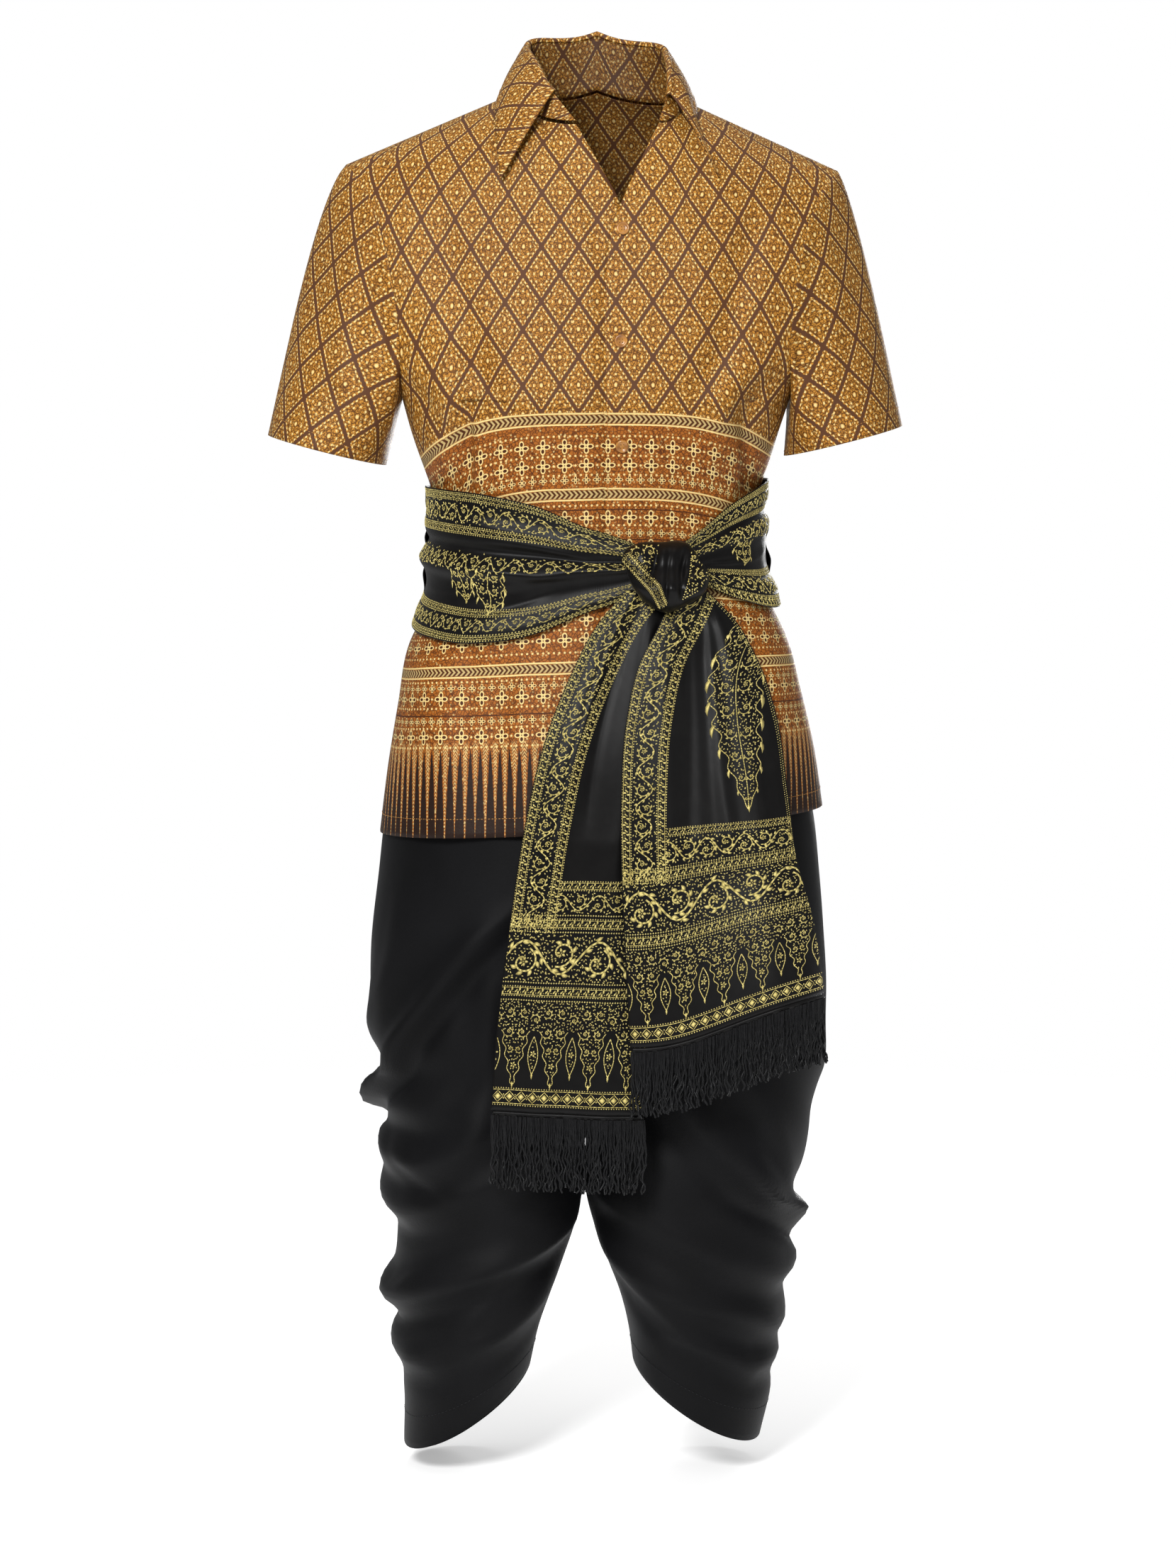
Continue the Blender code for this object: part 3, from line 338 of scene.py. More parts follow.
# The sash's stretches, by the angle round the waist (front is -90, the wearer's left is 0).
WRAP_FRONT_RIGHT = Table(
    "angle top bottom",
    (-180, -346, -466),
    (-150, -347, -476),
    (-125, -352, -481),
    (-105, -364, -473),
    (-92, -381, -456),
    (-77, -399, -437),
)
WRAP_FRONT_LEFT = Table(
    "angle top bottom",
    (-64, -398, -434),
    (-54, -384, -438),
    (-42, -366, -449),
    (-22, -350, -460),
    (0, -343, -461),
)
WRAP_BACK = Table(
    "angle top bottom",
    (0, -343, -461),
    (45, -345, -463),
    (90, -350, -466),
    (135, -348, -468),
    (180, -346, -466),
)
# How far the sash stands off the shirt, from its top edge (0) to its lower edge (1).
WRAP_FRONT_RIGHT_RELIEF = Table(
    "across lift",
    (0.0, 3.2),
    (0.12, 4.6),
    (0.32, 6.8),
    (0.38, 3.6),
    (0.44, 8.0),
    (0.52, 12.0),
    (0.60, 6.5),
    (0.68, 3.4),
    (0.80, 4.0),
    (0.90, 6.2),
    (1.0, 5.0),
)
WRAP_FRONT_LEFT_RELIEF = Table(
    "across lift",
    (0.0, 3.2),
    (0.14, 6.0),
    (0.22, 3.8),
    (0.34, 8.2),
    (0.44, 5.0),
    (0.56, 3.4),
    (0.72, 3.8),
    (0.86, 7.8),
    (1.0, 6.0),
)
WRAP_BACK_RELIEF = Table(
    "across lift",
    (0.0, 3.2),
    (0.14, 6.0),
    (0.26, 3.8),
    (0.38, 8.0),
    (0.5, 4.2),
    (0.64, 7.6),
    (0.78, 4.0),
    (0.9, 6.4),
    (1.0, 5.0),
)

# The sash's two hanging ends: edges by height, and how far each side stands off the dress.
TAILS = {
    "right": Table(
        "level inner outer off_inner off_outer",
        (-436, 62, 26, 7, 7),
        (-467, 63, 0, 6.6, 6.6),
        (-510, 62, -23, 6, 6),
        (-577, 58, -49, 7, 8),
        (-643, 54, -64, 7, 9),
        (-735, 50, -78, 8, 11),
        (-825, 46, -89, 9, 13),
        (-904, 43, -95, 11, 16),
    ),
    "left": Table(
        "level inner outer off_inner off_outer",
        (-436, 68, 97, 14, 16),
        (-462, 58, 122, 14, 12),
        (-500, 38, 144, 15, 14),
        (-550, 26, 161, 15, 17),
        (-620, 21, 171, 16, 25),
        (-700, 22, 180, 17, 40),
        (-760, 25, 193, 18, 62),
        (-841, 29, 205, 20, 88),
    ),
}
TAIL_END_RISE = {"right": 4.0, "left": 45.0}
# Each fold's share of the width, lift, spread and fade.
TAIL_FOLDS = {
    "right": ((0.30, 4.5, 0.12, 0.75), (0.72, 5.0, 0.12, 0.9)),
    "left": ((0.24, 5.0, 0.11, 0.7), (0.55, -3.5, 0.12, 0.9), (0.80, 6.0, 0.12, 1.0)),
}
# The knot's outline round its centre, as shares of its radii (0 to the wearer's left, 90 up), and its front.
KNOT = Table(
    "degrees reach",
    (-180, 0.82),
    (-165, 0.76),
    (-125, 0.74),
    (-90, 0.84),
    (-55, 0.80),
    (-18, 0.96),
    (8, 1.0),
    (36, 0.95),
    (63, 1.07),
    (98, 1.0),
    (125, 1.16),
    (144, 1.20),
    (163, 0.94),
    (180, 0.82),
)


# How far the print's bands sink towards each side, and how suddenly.
PRINT_SINK = Table(
    "level right left",
    (-651, 6, 6),
    (-500, 8, 8),
    (-420, 26, 22),
    (-345, 41, 33),
    (-280, 40, 31),
    (-200, 14, 10),
    (-100, 0, 0),
)
PRINT_SINK_POWER = 3.3

# Creases of each cloth: from one place to another, bow to the side, lift and half width.
# On the shirt a place is how far across and how high it is.
SHIRT_FRONT_CREASES = (
    (-172, -250, -118, -336, 6, -3.0, 7),
    (-168, -236, -96, -318, 10, 2.6, 9),
    (-160, -212, -70, -300, 14, -1.8, 9),
    (-118, -262, -119, -352, 2, -5.5, 6),
    (-108, -282, -104, -352, -2, 3.0, 7),
    (136, -300, 136, -354, 2, -5.0, 6),
    (124, -290, 126, -352, 2, 2.6, 7),
    (168, -240, 128, -316, -8, -3.0, 8),
    (160, -222, 104, -300, -10, 2.2, 9),
    (150, -200, 80, -282, -12, -1.6, 9),
    (-60, -300, -20, -372, 5, 1.5, 9),
    (58, -296, 30, -366, -4, 1.4, 9),
    (-78, -26, -104, -86, -6, 1.4, 8),
    (84, -28, 112, -90, 6, 1.4, 8),
    (-40, -96, -66, -164, -4, 1.0, 10),
    (70, -110, 96, -176, 5, 1.1, 10),
    (-62, -488, -78, -600, 3, 2.2, 10),
    (-112, -480, -126, -590, 3, -2.0, 9),
    (-34, -492, -40, -640, 2, -1.6, 9),
    (150, -480, 172, -640, -3, 2.4, 10),
    (122, -500, 138, -650, -3, -1.8, 9),
)
SHIRT_BACK_CREASES = (
    (168, -236, 96, -320, 10, 2.4, 9),
    (160, -214, 70, -300, 13, -1.8, 9),
    (-168, -240, -104, -322, -9, 2.2, 9),
    (-160, -216, -74, -304, -12, -1.8, 9),
    (-44, -290, -26, -352, 3, 1.6, 9),
    (40, -286, 22, -350, -3, 1.6, 9),
    (64, -482, 78, -610, -3, 2.0, 11),
    (-60, -482, -74, -620, 3, 2.0, 11),
    (130, -480, 150, -640, -3, -2.0, 10),
    (-134, -480, -152, -640, 3, -2.0, 10),
)
# On a sleeve it is the angle from the shoulder's tip forwards and the height over the cuff.
SLEEVE_CREASES = {
    "right": (
        (60, 250, 100, 60, -14, 2.2, 12),
        (98, 240, 120, 90, 8, -1.8, 10),
        (130, 252, 150, 120, 6, 1.6, 10),
        (30, 236, 50, 120, -8, -1.2, 12),
        (262, 245, 236, 90, 8, 2.0, 12),
        (300, 240, 285, 110, 6, -1.5, 12),
    ),
    "left": (
        (64, 246, 96, 70, -12, 2.0, 12),
        (104, 236, 128, 96, 8, -1.8, 10),
        (34, 240, 44, 110, -6, -1.2, 12),
        (258, 245, 232, 84, 8, 2.0, 12),
        (298, 240, 280, 110, 6, -1.5, 12),
    ),
}
# On a leg it is the angle from the outer side (front is minus) and the height.
LEG_CREASES = {
    "right": (
        (-128, -770, -62, -980, -16, 3.6, 7),
        (-118, -790, -48, -960, -12, -3.0, 7),
        (-150, -820, -90, -1010, -10, 2.0, 8),
        (-60, -700, -30, -850, -6, 1.8, 10),
        (-20, -930, -80, -1000, 8, -2.0, 6),
        (-96, -1040, -30, -1084, 10, 2.2, 6),
        (-140, -1060, -70, -1130, 8, 2.4, 6),
        (-120, -1120, -20, -1160, 12, 1.8, 6),
        (60, -780, 120, -930, 10, 2.6, 9),
        (20, -930, 100, -1010, -10, 2.0, 8),
        (40, -1060, 130, -1120, 8, 2.0, 7),
        (-20, -760, 10, -860, 4, -1.6, 10),
    ),
    "left": (
        (-120, -790, -56, -1000, 10, 2.4, 9),
        (-104, -850, -20, -1010, 10, 2.4, 7),
        (-96, -880, -10, -1046, 8, -2.0, 7),
        (-70, -700, -36, -860, 6, 1.8, 10),
        (-140, -980, -60, -1080, 8, 2.2, 7),
        (-110, -1090, -20, -1120, 10, 2.0, 6),
        (-130, -1120, -40, -1160, 10, 1.8, 6),
        (60, -790, 116, -930, -10, 2.6, 9),
        (24, -950, 100, -1030, 10, 2.0, 8),
        (40, -1070, 130, -1120, -8, 2.0, 7),
    ),
}
# On the sash round the waist it is the angle and the share across in hundredths.
WRAP_CREASES = (
    (-176, 12, -100, 22, 3, 1.3, 3.4),
    (-170, 48, -90, 60, -4, 1.8, 3.0),
    (-176, 70, -96, 52, 5, 1.6, 3.4),
    (-150, 84, -100, 66, 4, -1.4, 3.0),
    (-130, 30, -84, 40, -3, 1.6, 3.0),
    (-60, 30, -8, 16, 3, 1.6, 3.4),
    (-56, 60, -4, 50, 4, 1.8, 3.4),
    (-50, 78, 0, 86, -4, 1.6, 3.4),
    (10, 22, 90, 30, 4, 1.4, 3.4),
    (40, 62, 150, 52, -5, 1.8, 3.4),
    (100, 20, 176, 14, 3, 1.4, 3.4),
    (70, 84, 170, 76, 4, -1.6, 3.4),
)
# On a hanging end it is the shares across and down in hundredths.
TAIL_CREASES = {
    "right": (
        (20, 2, 34, 60, 3, 2.2, 5),
        (50, 4, 52, 46, -3, -2.2, 5),
        (70, 2, 82, 70, 4, 2.4, 5),
        (88, 30, 92, 99, 2, -1.4, 5),
    ),
    "left": (
        (16, 2, 14, 56, 3, 2.4, 5),
        (40, 4, 36, 70, -3, -2.2, 5),
        (62, 2, 66, 66, 4, 2.8, 5),
        (84, 14, 90, 99, 3, 2.0, 5),
        (96, 30, 98, 99, 1, -1.6, 4),
    ),
}



# Lobes and creases of the knot, in millimetres from its middle.
KNOT_CREASES = (
    (-8, 36, -16, -4, 2, -4.6, 2.4),
    (20, 34, 14, -22, -3, -4.4, 2.2),
    (10, 34, 7, -18, -2, 3.0, 4.5),
    (-2, 34, -5, -12, 2, 2.4, 4.0),
    (4, 30, 1, -20, -2, -1.6, 1.8),
    (-22, 30, -24, 4, 0, 1.4, 5.0),
    (-28, 34, -20, 12, -1, -1.4, 1.6),
    (29, 26, 30, -6, -3, 2.2, 5.0),
    (34, 18, 14, -14, -3, -1.6, 1.6),
    (8, 26, 10, -2, 3, -1.4, 1.8),
)
def eased(t):
    t = np.clip(t, 0.0, 1.0)
    return t * t * (3 - 2 * t)


def hand_of(side):
    return -1.0 if side == "right" else 1.0


def normals(points, closed=False):
    """Unit normals of a grid of points, facing column step x row step."""
    if closed:
        along = np.roll(points, -1, 1) - np.roll(points, 1, 1)
    else:
        along = np.gradient(points, axis=1)
    found = np.cross(along, np.gradient(points, axis=0))
    return found / np.maximum(np.linalg.norm(found, axis=2, keepdims=True), 1e-9)


def pushed(points, amount, closed=False):
    return points + normals(points, closed) * amount[..., None]


def run_along(points, axis):
    """Length run from the first row or column of a grid of points."""
    steps = np.linalg.norm(np.diff(points, axis=axis), axis=-1)
    start = np.zeros_like(np.take(steps, [0], axis))
    return np.concatenate([start, np.cumsum(steps, axis)], axis)


def crease_lift(across, along, creases):
    """How far creases lift a cloth. Each runs between two places, bowed sideways, and fades at its ends."""
    lift = np.zeros(np.broadcast(across, along).shape)
    for x0, y0, x1, y1, bow, height, spread in creases:
        run = math.hypot(x1 - x0, y1 - y0)
        ux, uy = (x1 - x0) / run, (y1 - y0) / run
        share = ((across - x0) * ux + (along - y0) * uy) / run
        aside = (along - y0) * ux - (across - x0) * uy - bow * 4 * share * (1 - share)
        window = eased(share / 0.3 + 0.15) * eased((1 - share) / 0.3 + 0.15)
        lift = lift + height * window * np.exp(-((aside / spread) ** 2))
    return lift


# The shirt.


def ridge(side, middle):
    """Height of the shoulder line at a distance from the middle."""
    lower = LEFT_SHOULDER_LOWER * eased(np.abs(middle) / 80) if side == "left" else 0.0
    return RIDGE_HEIGHT - SHOULDER_SLOPE[side] * np.abs(middle) - lower


def top_share(side, middle, front_end):
    """Share of the height from armpit to shoulder line at which a panel meets the neck seam.

    front_end is the front edge's distance from the middle, or None behind.
    """
    if front_end is None:
        depth = BACK_NECK_DEPTH * np.sqrt(np.maximum(1 - (np.abs(middle) / NECK_POINT) ** 2, 0))
        share = (1 - (depth / TORSO.at("back", ARMPIT)) ** SHOULDER_ROLL) ** (1 / SHOULDER_ROLL)
    else:
        along = np.clip((middle - front_end) / (NECK_POINT - front_end), 0, 1)
        height = FRONT_NECK_DROP + (ridge(side, NECK_POINT) - FRONT_NECK_DROP) * along**2.2
        share = (height - ARMPIT) / (ridge(side, middle) - ARMPIT)
    return np.where(np.abs(middle) >= NECK_POINT, 1.0, np.minimum(share, 1.0))


def armhole_width(side, share):
    shorter = LEFT_TIP_SHORTER * share if side == "left" else 0.0
    return CHEST.at("armhole", share) + (TORSO.at(side, ARMPIT) - 176.0) * (1 - share) - shorter


def chest_point(side, face, middle, share):
    """A point of the shirt above the armpit. middle is how far it is from the middle."""
    square = CHEST.at("square", share)
    closing = CHEST.at("closing", share) + (TORSO.at(side, ARMPIT) - 176.0) * (1 - share)
    flank = np.maximum(1 - (np.abs(middle) / closing) ** square, 0) ** (1 / square)
    roll = np.maximum(1 - share**SHOULDER_ROLL, 0) ** (1 / SHOULDER_ROLL)
    hand = -1.0 if face == "front" else 1.0
    height = ARMPIT + (ridge(side, middle) - ARMPIT) * share
    y = hand * TORSO.at(face, ARMPIT) * flank * roll
    return np.stack(np.broadcast_arrays(hand_of(side) * middle, y, height), -1)


def torso_point(side, face, middle, level):
    """A point of the shirt below the armpit, at a nominal level."""
    square = TORSO.at("square", level)
    flank = np.maximum(1 - (np.abs(middle) / TORSO.at(side, level)) ** square, 0) ** (1 / square)
    hand = -1.0 if face == "front" else 1.0
    x = hand_of(side) * middle
    tilt = HEM_TILT * (level - ARMPIT) / (HEM - ARMPIT)
    return np.stack(np.broadcast_arrays(x, hand * TORSO.at(face, level) * flank, level + tilt * x), -1)


def print_height(side, points, levels):
    """Height of each place in the print, whose bands sink towards the sides."""
    half = TORSO.at(side, np.minimum(levels, ARMPIT))
    share = np.minimum(np.abs(points[..., 0]) / half, 1.0)
    return levels + PRINT_SINK.at(side, levels) * share**PRINT_SINK_POWER


def panel(side, face):
    """One half of the shirt's body from hem to neck, from the middle to the side seam, and its UVs."""
    spread = 0.25 * np.linspace(0, 1, PANEL_COLUMNS + 1)
    spread += 0.75 * np.sin(np.linspace(0, 1, PANEL_COLUMNS + 1) * math.pi / 2) ** 0.87
    neck_end = FRONT_EDGES.at(side, 1.0) if face == "front" else None
    above = (1 - np.cos(np.linspace(0, 1, PANEL_ROWS_ABOVE + 1) * math.pi)) / 2
    rows, starts = [], []
    for share in np.concatenate([np.linspace(-1, 0, PANEL_ROWS_BELOW + 1), above[1:]]):
        start = FRONT_EDGES.at(side, share) if face == "front" else 0.0
        starts.append(float(start))
        level = ARMPIT + (ARMPIT - HEM) * share
        if share <= 0:
            middle = start + (TORSO.at(side, level) - start) * spread
            rows.append(torso_point(side, face, middle, level))
        else:
            middle = start + (armhole_width(side, share) - start) * spread
            rows.append(chest_point(side, face, middle, share * top_share(side, middle, neck_end)))
    points = np.array(rows)
    nominal = ARMPIT + (ARMPIT - HEM) * np.linspace(-1, 0, PANEL_ROWS_BELOW + 1)
    levels = np.repeat(nominal[:, None], PANEL_COLUMNS + 1, 1)
    rising = points[PANEL_ROWS_BELOW:].copy()
    rising[..., 0] = 0
    rising[..., 1] *= 1 - eased((spread - 0.5) / 0.4)
    levels = np.concatenate([levels[:-1], ARMPIT + run_along(rising, 0)])
    across = hand_of(side) * (np.array(starts)[:, None] + run_along(points, 1))
    return points, np.stack([across, print_height(side, points, levels)], -1)


def fold_lift(points, folds):
    """How far upright folds lift the cloth at each point."""
    lift = np.zeros(points.shape[:2])
    x, z = points[..., 0], points[..., 2]
    for centre, top, bottom, lean, height, spread in folds:
        line = centre + lean * (z - top)
        window = eased((top - z) / 45) * eased((z - bottom) / 45 + 1)
        lift += height * window * np.exp(-(((x - line) / spread) ** 2))
    return lift


def shoulder_gap(points):
    """The space at the seams between front and back, wider at the shoulder where the walls lean in."""
    return SEAM_GAP / 2 + 0.25 * eased((points[..., 2] + 110) / 40)


def shirt_front(side):
    points, uv = panel(side, "front")
    if side == "right":
        points, uv = points[:, ::-1], uv[:, ::-1]
    lift = fold_lift(points, SHIRT_FRONT_FOLDS)
    lift += crease_lift(points[..., 0], points[..., 2], SHIRT_FRONT_CREASES)
    lift *= eased(np.abs(points[..., 1]) / 30)
    if side == "right":
        from_edge = np.abs(points[..., 0] - points[:, -1:, 0])
        lift -= LAP_DEPTH * (1 - eased((from_edge - BUTTON_LAP + 2) / 11))
    points = pushed(points, lift)
    points[..., 1] -= shoulder_gap(points)
    return points, uv


def shirt_back():
    right, right_uv = panel("right", "back")
    left, left_uv = panel("left", "back")
    points = np.concatenate([left[:, :0:-1], right], 1)
    uv = np.concatenate([left_uv[:, :0:-1], right_uv], 1)
    lift = fold_lift(points, SHIRT_BACK_FOLDS)
    lift += crease_lift(points[..., 0], points[..., 2], SHIRT_BACK_CREASES)
    points = pushed(points, lift * eased(points[..., 1] / 30))
    points[..., 1] += shoulder_gap(points)
    return points, uv


def armhole(side):
    """Points round an armhole from the shoulder's tip forwards, down to the armpit and up behind."""
    front = shirt_front(side)[0][PANEL_ROWS_BELOW:, 0 if side == "right" else -1]
    back = shirt_back()[0][PANEL_ROWS_BELOW:, -1 if side == "right" else 0]
    ring = np.concatenate([front[::-1], back[1:-1]])
    ring[0, 1] = 0
    ring[PANEL_ROWS_ABOVE, 1] = 0
    return ring


def cuff(side, angles):
    hand = hand_of(side)
    x, z = CUFFS[side]
    tilt = math.radians(CUFF_TILT)
    out = CUFF_HALF_WIDTH * np.cos(angles)
    return np.stack(
        [x + hand * out * math.cos(tilt), -CUFF_HALF_DEPTH * np.sin(angles), z + out * math.sin(tilt)], -1
    )


def torso_width_at(side, y, level, margin):
    """Half width of the body below the armpit at a depth, and nothing above it."""
    square = TORSO.at("square", level)
    depth = np.where(y < 0, TORSO.at("front", level), TORSO.at("back", level)) + margin
    flank = np.maximum(1 - (np.abs(y) / depth) ** square, 0) ** (1 / square)
    return np.where(level < ARMPIT + 0.5, (TORSO.at(side, level) + margin) * flank, 0.0)


def sleeve(side):
    start = armhole(side)
    angles = np.arange(len(start)) * 2 * math.pi / len(start)
    end = cuff(side, angles)
    length = np.linalg.norm(end - start, axis=1, keepdims=True)
    hand = hand_of(side)
    rows = []
    for share in np.linspace(0, 1, SLEEVE_ROWS + 1):
        seam = (SEAM_GAP * 1.6 + 1.5 * np.maximum(np.cos(angles), 0)[:, None] ** 0.5) / length
        seam = seam * min(share * SLEEVE_ROWS, 1.0)
        ring = start + (end - start) * (seam + (1 - seam) * share)
        head = SLEEVE_HEAD[side] * math.sin(math.pi * share**0.55) * np.maximum(np.cos(angles), 0) ** 1.5
        ring[:, 0] += hand * head
        crease = 2.5 * math.sin(math.pi * share) * np.sin(3 * angles + 0.6)
        ring[:, 1] -= crease * np.sin(angles)
        clear = torso_width_at(side, ring[:, 1], ring[:, 2], 0.5 + 2.0 * min(share * 5, 1))
        ring[:, 0] = np.where(hand * ring[:, 0] < clear, hand * clear, ring[:, 0])
        rows.append(ring)
    points = np.array(rows)
    down = np.linspace(SLEEVE_LENGTH, 0, SLEEVE_ROWS + 1)[:, None] + 0 * angles
    middle = end.mean(0)
    axis = start.mean(0) - middle
    axis /= np.linalg.norm(axis)
    out = np.cross(axis, (0, -1.0, 0)) * hand
    out /= np.linalg.norm(out)
    turn = np.unwrap(np.arctan2(-(points - middle)[..., 1], (points - middle) @ out), axis=1)
    uv = np.stack([hand * turn * SLEEVE_GIRTH / (2 * math.pi), (points - middle) @ axis], -1)
    degrees = np.degrees(angles)[None, :] * np.ones((SLEEVE_ROWS + 1, 1))
    lift = crease_lift(degrees, down, SLEEVE_CREASES[side])
    fade = eased((SLEEVE_LENGTH - down) / 30) * eased(down / 12 + 0.3)
    if side == "right":
        points, uv, lift, fade = points[:, ::-1], uv[:, ::-1], lift[:, ::-1], fade[:, ::-1]
    return pushed(points, lift * fade, True), uv


# The collar.


def neck_seam(around):
    """The neck seam from the right front end (-1) round the back to the left front end (1)."""
    points = []
    for a in around:
        side = "right" if a < 0 else "left"
        turn = abs(a)
        if turn <= 0.5:
            middle = NECK_POINT * math.sin(turn * math.pi)
            points.append(chest_point(side, "back", middle, top_share(side, middle, None)))
        else:
            end = float(FRONT_EDGES.at(side, 1.0))
            middle = end + (NECK_POINT - end) * math.cos((turn - 0.5) * math.pi)
            points.append(chest_point(side, "front", middle, top_share(side, middle, end)))
    return np.array(points)


def fold_line(around):
    seam = neck_seam(around)
    return seam + np.stack([COLLAR_FOLD.at(name, around) for name in ("across", "behind", "rise")], -1)


def fold_axes(fold):
    """Directions square to the fold line: level and away from the neck, and upwards."""
    along = np.gradient(fold, axis=0)
    out = -np.cross(along, (0, 0, 1.0))
    out /= np.linalg.norm(out, axis=1, keepdims=True)
    up = np.cross(along, out)
    return out, up / np.linalg.norm(up, axis=1, keepdims=True)


def leaf_edge(around):
    """The leaf's lower edge, off the shirt along the shirt's own normal."""
    points = []
    for a in around:
        side = "right" if a < 0 else "left"
        face = "back" if abs(a) < 0.5 else "front"
        middle, share = COLLAR_EDGE.at("middle", a), min(COLLAR_EDGE.at("height", a), 0.995)
        here = chest_point(side, face, middle, share)
        below = chest_point(side, face, middle, share - 0.01)
        rise = here - below
        hand = -1.0 if face == "front" else 1.0
        out = np.array([0.0, hand * rise[2], abs(rise[1])])
        points.append(here + out / np.linalg.norm(out) * COLLAR_EDGE.at("off", a))
    return np.array(points)


def grid_uv(points, across_middle=True):
    """UVs run along the cloth's own rows and columns, from its middle column and its first row."""
    across, along = run_along(points, 1), run_along(points, 0)
    if across_middle:
        across = across - across[:, across.shape[1] // 2][:, None]
    return np.stack([across, along], -1)


def collar_stand():
    around = np.linspace(-1, 1, COLLAR_COLUMNS + 1)
    low = neck_seam(around)
    low[:, 2] += SEAM_GAP + 1.4 + 0.8 * (1 - eased(np.abs(around) * 2))
    fold = fold_line(around)
    high = fold - fold_axes(fold)[1] * SEAM_GAP
    share = np.linspace(0, 1, STAND_ROWS + 1)[:, None, None]
    points = (low + (high - low) * share)[:, ::-1]
    return points, grid_uv(points)


def collar_leaf():
    """The leaf: up from the stand's inner side, over the fold and down onto the shirt."""
    around = np.linspace(-1, 1, COLLAR_COLUMNS + 1)
    fold, edge = fold_line(around), leaf_edge(around)
    out, up = fold_axes(fold)
    middle = fold + out * (COLLAR_ROLL - COLLAR_SOLID) + up * 1.2
    rows = [fold - out * COLLAR_SOLID]
    for degrees in np.linspace(180, 15, 10):
        turn = math.radians(degrees)
        rows.append(middle + COLLAR_ROLL * (out * math.cos(turn) + up * math.sin(turn)))
    last = rows[-1]
    for share in np.linspace(0, 1, LEAF_ROWS + 1)[1:]:
        bow = 3.0 * math.sin(math.pi * share**0.8)
        rows.append(last + (edge - last) * share + out * bow)
    points = np.array(rows)
    uv = grid_uv(points)
    return points, uv


# The trousers.


def leg_ring(side, level, angles):
    """One ring of a leg. Angle 0 is the outer side, -pi and pi the inner seam before and behind."""
    table = LEGS[side]
    outer, inner = table.at("outer", level), table.at("inner", level)
    pinch = np.clip(SEAT.at("pinch", level), 0, 1)
    depth = np.where(angles < 0, SEAT.at("front", level), SEAT.at("back", level))
    half = angles / 2
    power = 2 / HIP_SQUARENESS
    hip_x = inner + (outer - inner) * np.maximum(np.cos(half), 0) ** power
    hip_y = np.sign(half) * depth * np.abs(np.sin(half)) ** power
    leg_x = (outer + inner) / 2 + (outer - inner) / 2 * np.cos(angles)
    leg_y = depth * np.sin(angles)
    x = (1 - pinch) * hip_x + pinch * leg_x
    y = (1 - pinch) * hip_y + pinch * leg_y
    drop = table.at("drop_out", level) * np.cos(angles)
    drop += table.at("drop_front", level) * np.maximum(-np.sin(angles), 0)
    drop += table.at("drop_back", level) * np.maximum(np.sin(angles), 0)
    return np.stack([hand_of(side) * np.maximum(x, inner + SEAM_GAP / 2), y, level - drop], -1)


def swag_lift(side, points, angles):
    """How far the swags lift the cloth."""
    lift = np.zeros(points.shape[:2])
    seam_fade = 1 - eased((np.abs(angles) - 2.55) / 0.5)
    waist_fade = eased((-700 - points[..., 2]) / 60)
    for level, low_angle, front_climb, back_climb, height, spread in SWAGS[side]:
        low = math.radians(low_angle)
        before = np.maximum(low - angles, 0) / (math.pi + low)
        behind = np.maximum(angles - low, 0) / (math.pi - low)
        line = level + front_climb * before**SWAG_BEND + back_climb * behind**SWAG_BEND
        above = (points[..., 2] - line) / (spread * (1 + 0.7 * before + 0.9 * behind))
        above = np.where(above < 0, above * SWAG_UNDERCUT, above)
        ridge_line = np.exp(-(above**2)) - 0.45 * np.exp(-((above + 2.6) ** 2))
        lift += height * ridge_line * (1 - 0.35 * before - 0.45 * behind)
    return lift * seam_fade * waist_fade


def leg(side):
    """Rows from the waist to the hem, from the inner seam round the front and back to the inner seam."""
    angles = np.linspace(-math.pi, math.pi, LEG_COLUMNS + 1)
    levels = np.linspace(WAIST - SEAM_GAP, LEGS[side].keys[0], LEG_ROWS + 1)
    points = np.array([leg_ring(side, level, angles) for level in levels])
    outwards = normals(points) * (1.0 if side == "right" else -1.0)
    outwards[:, (0, -1), 0] = 0
    lift = swag_lift(side, points, angles)
    degrees = np.degrees(angles)[None, :] * np.ones((LEG_ROWS + 1, 1))
    seam_fade = 1 - eased((np.abs(angles) - 2.7) / 0.4)
    lift += crease_lift(degrees, points[..., 2], LEG_CREASES[side]) * seam_fade
    points = points + outwards * lift[..., None]
    uv = np.stack([degrees * 1.6, levels[:, None] + 0 * degrees], -1)
    if side == "left":
        return points[:, ::-1], uv[:, ::-1]
    return points, uv


def waistband():
    """A band of trouser cloth that carries the legs, under the shirt."""
    angles = np.linspace(0, 2 * math.pi, WAISTBAND_COLUMNS, endpoint=False)
    half = np.where(np.cos(angles) < 0, LEGS["right"].at("outer", WAIST), LEGS["left"].at("outer", WAIST))
    depth = np.where(np.sin(angles) < 0, SEAT.at("front", WAIST), SEAT.at("back", WAIST))
    power = 2 / HIP_SQUARENESS
    x = half * np.sign(np.cos(angles)) * np.abs(np.cos(angles)) ** power
    y = depth * np.sign(np.sin(angles)) * np.abs(np.sin(angles)) ** power
    rows = []
    for share in np.linspace(0, 1, 9):
        flare = 1 + WAISTBAND_FLARE / LEGS["left"].at("outer", WAIST) * share
        rows.append(np.stack([x * flare, y, WAIST + (WAISTBAND_TOP - WAIST) * share + 0 * x], -1))
    points = np.array(rows)
    return points, np.stack([points[..., 0] + points[..., 1], points[..., 2]], -1)


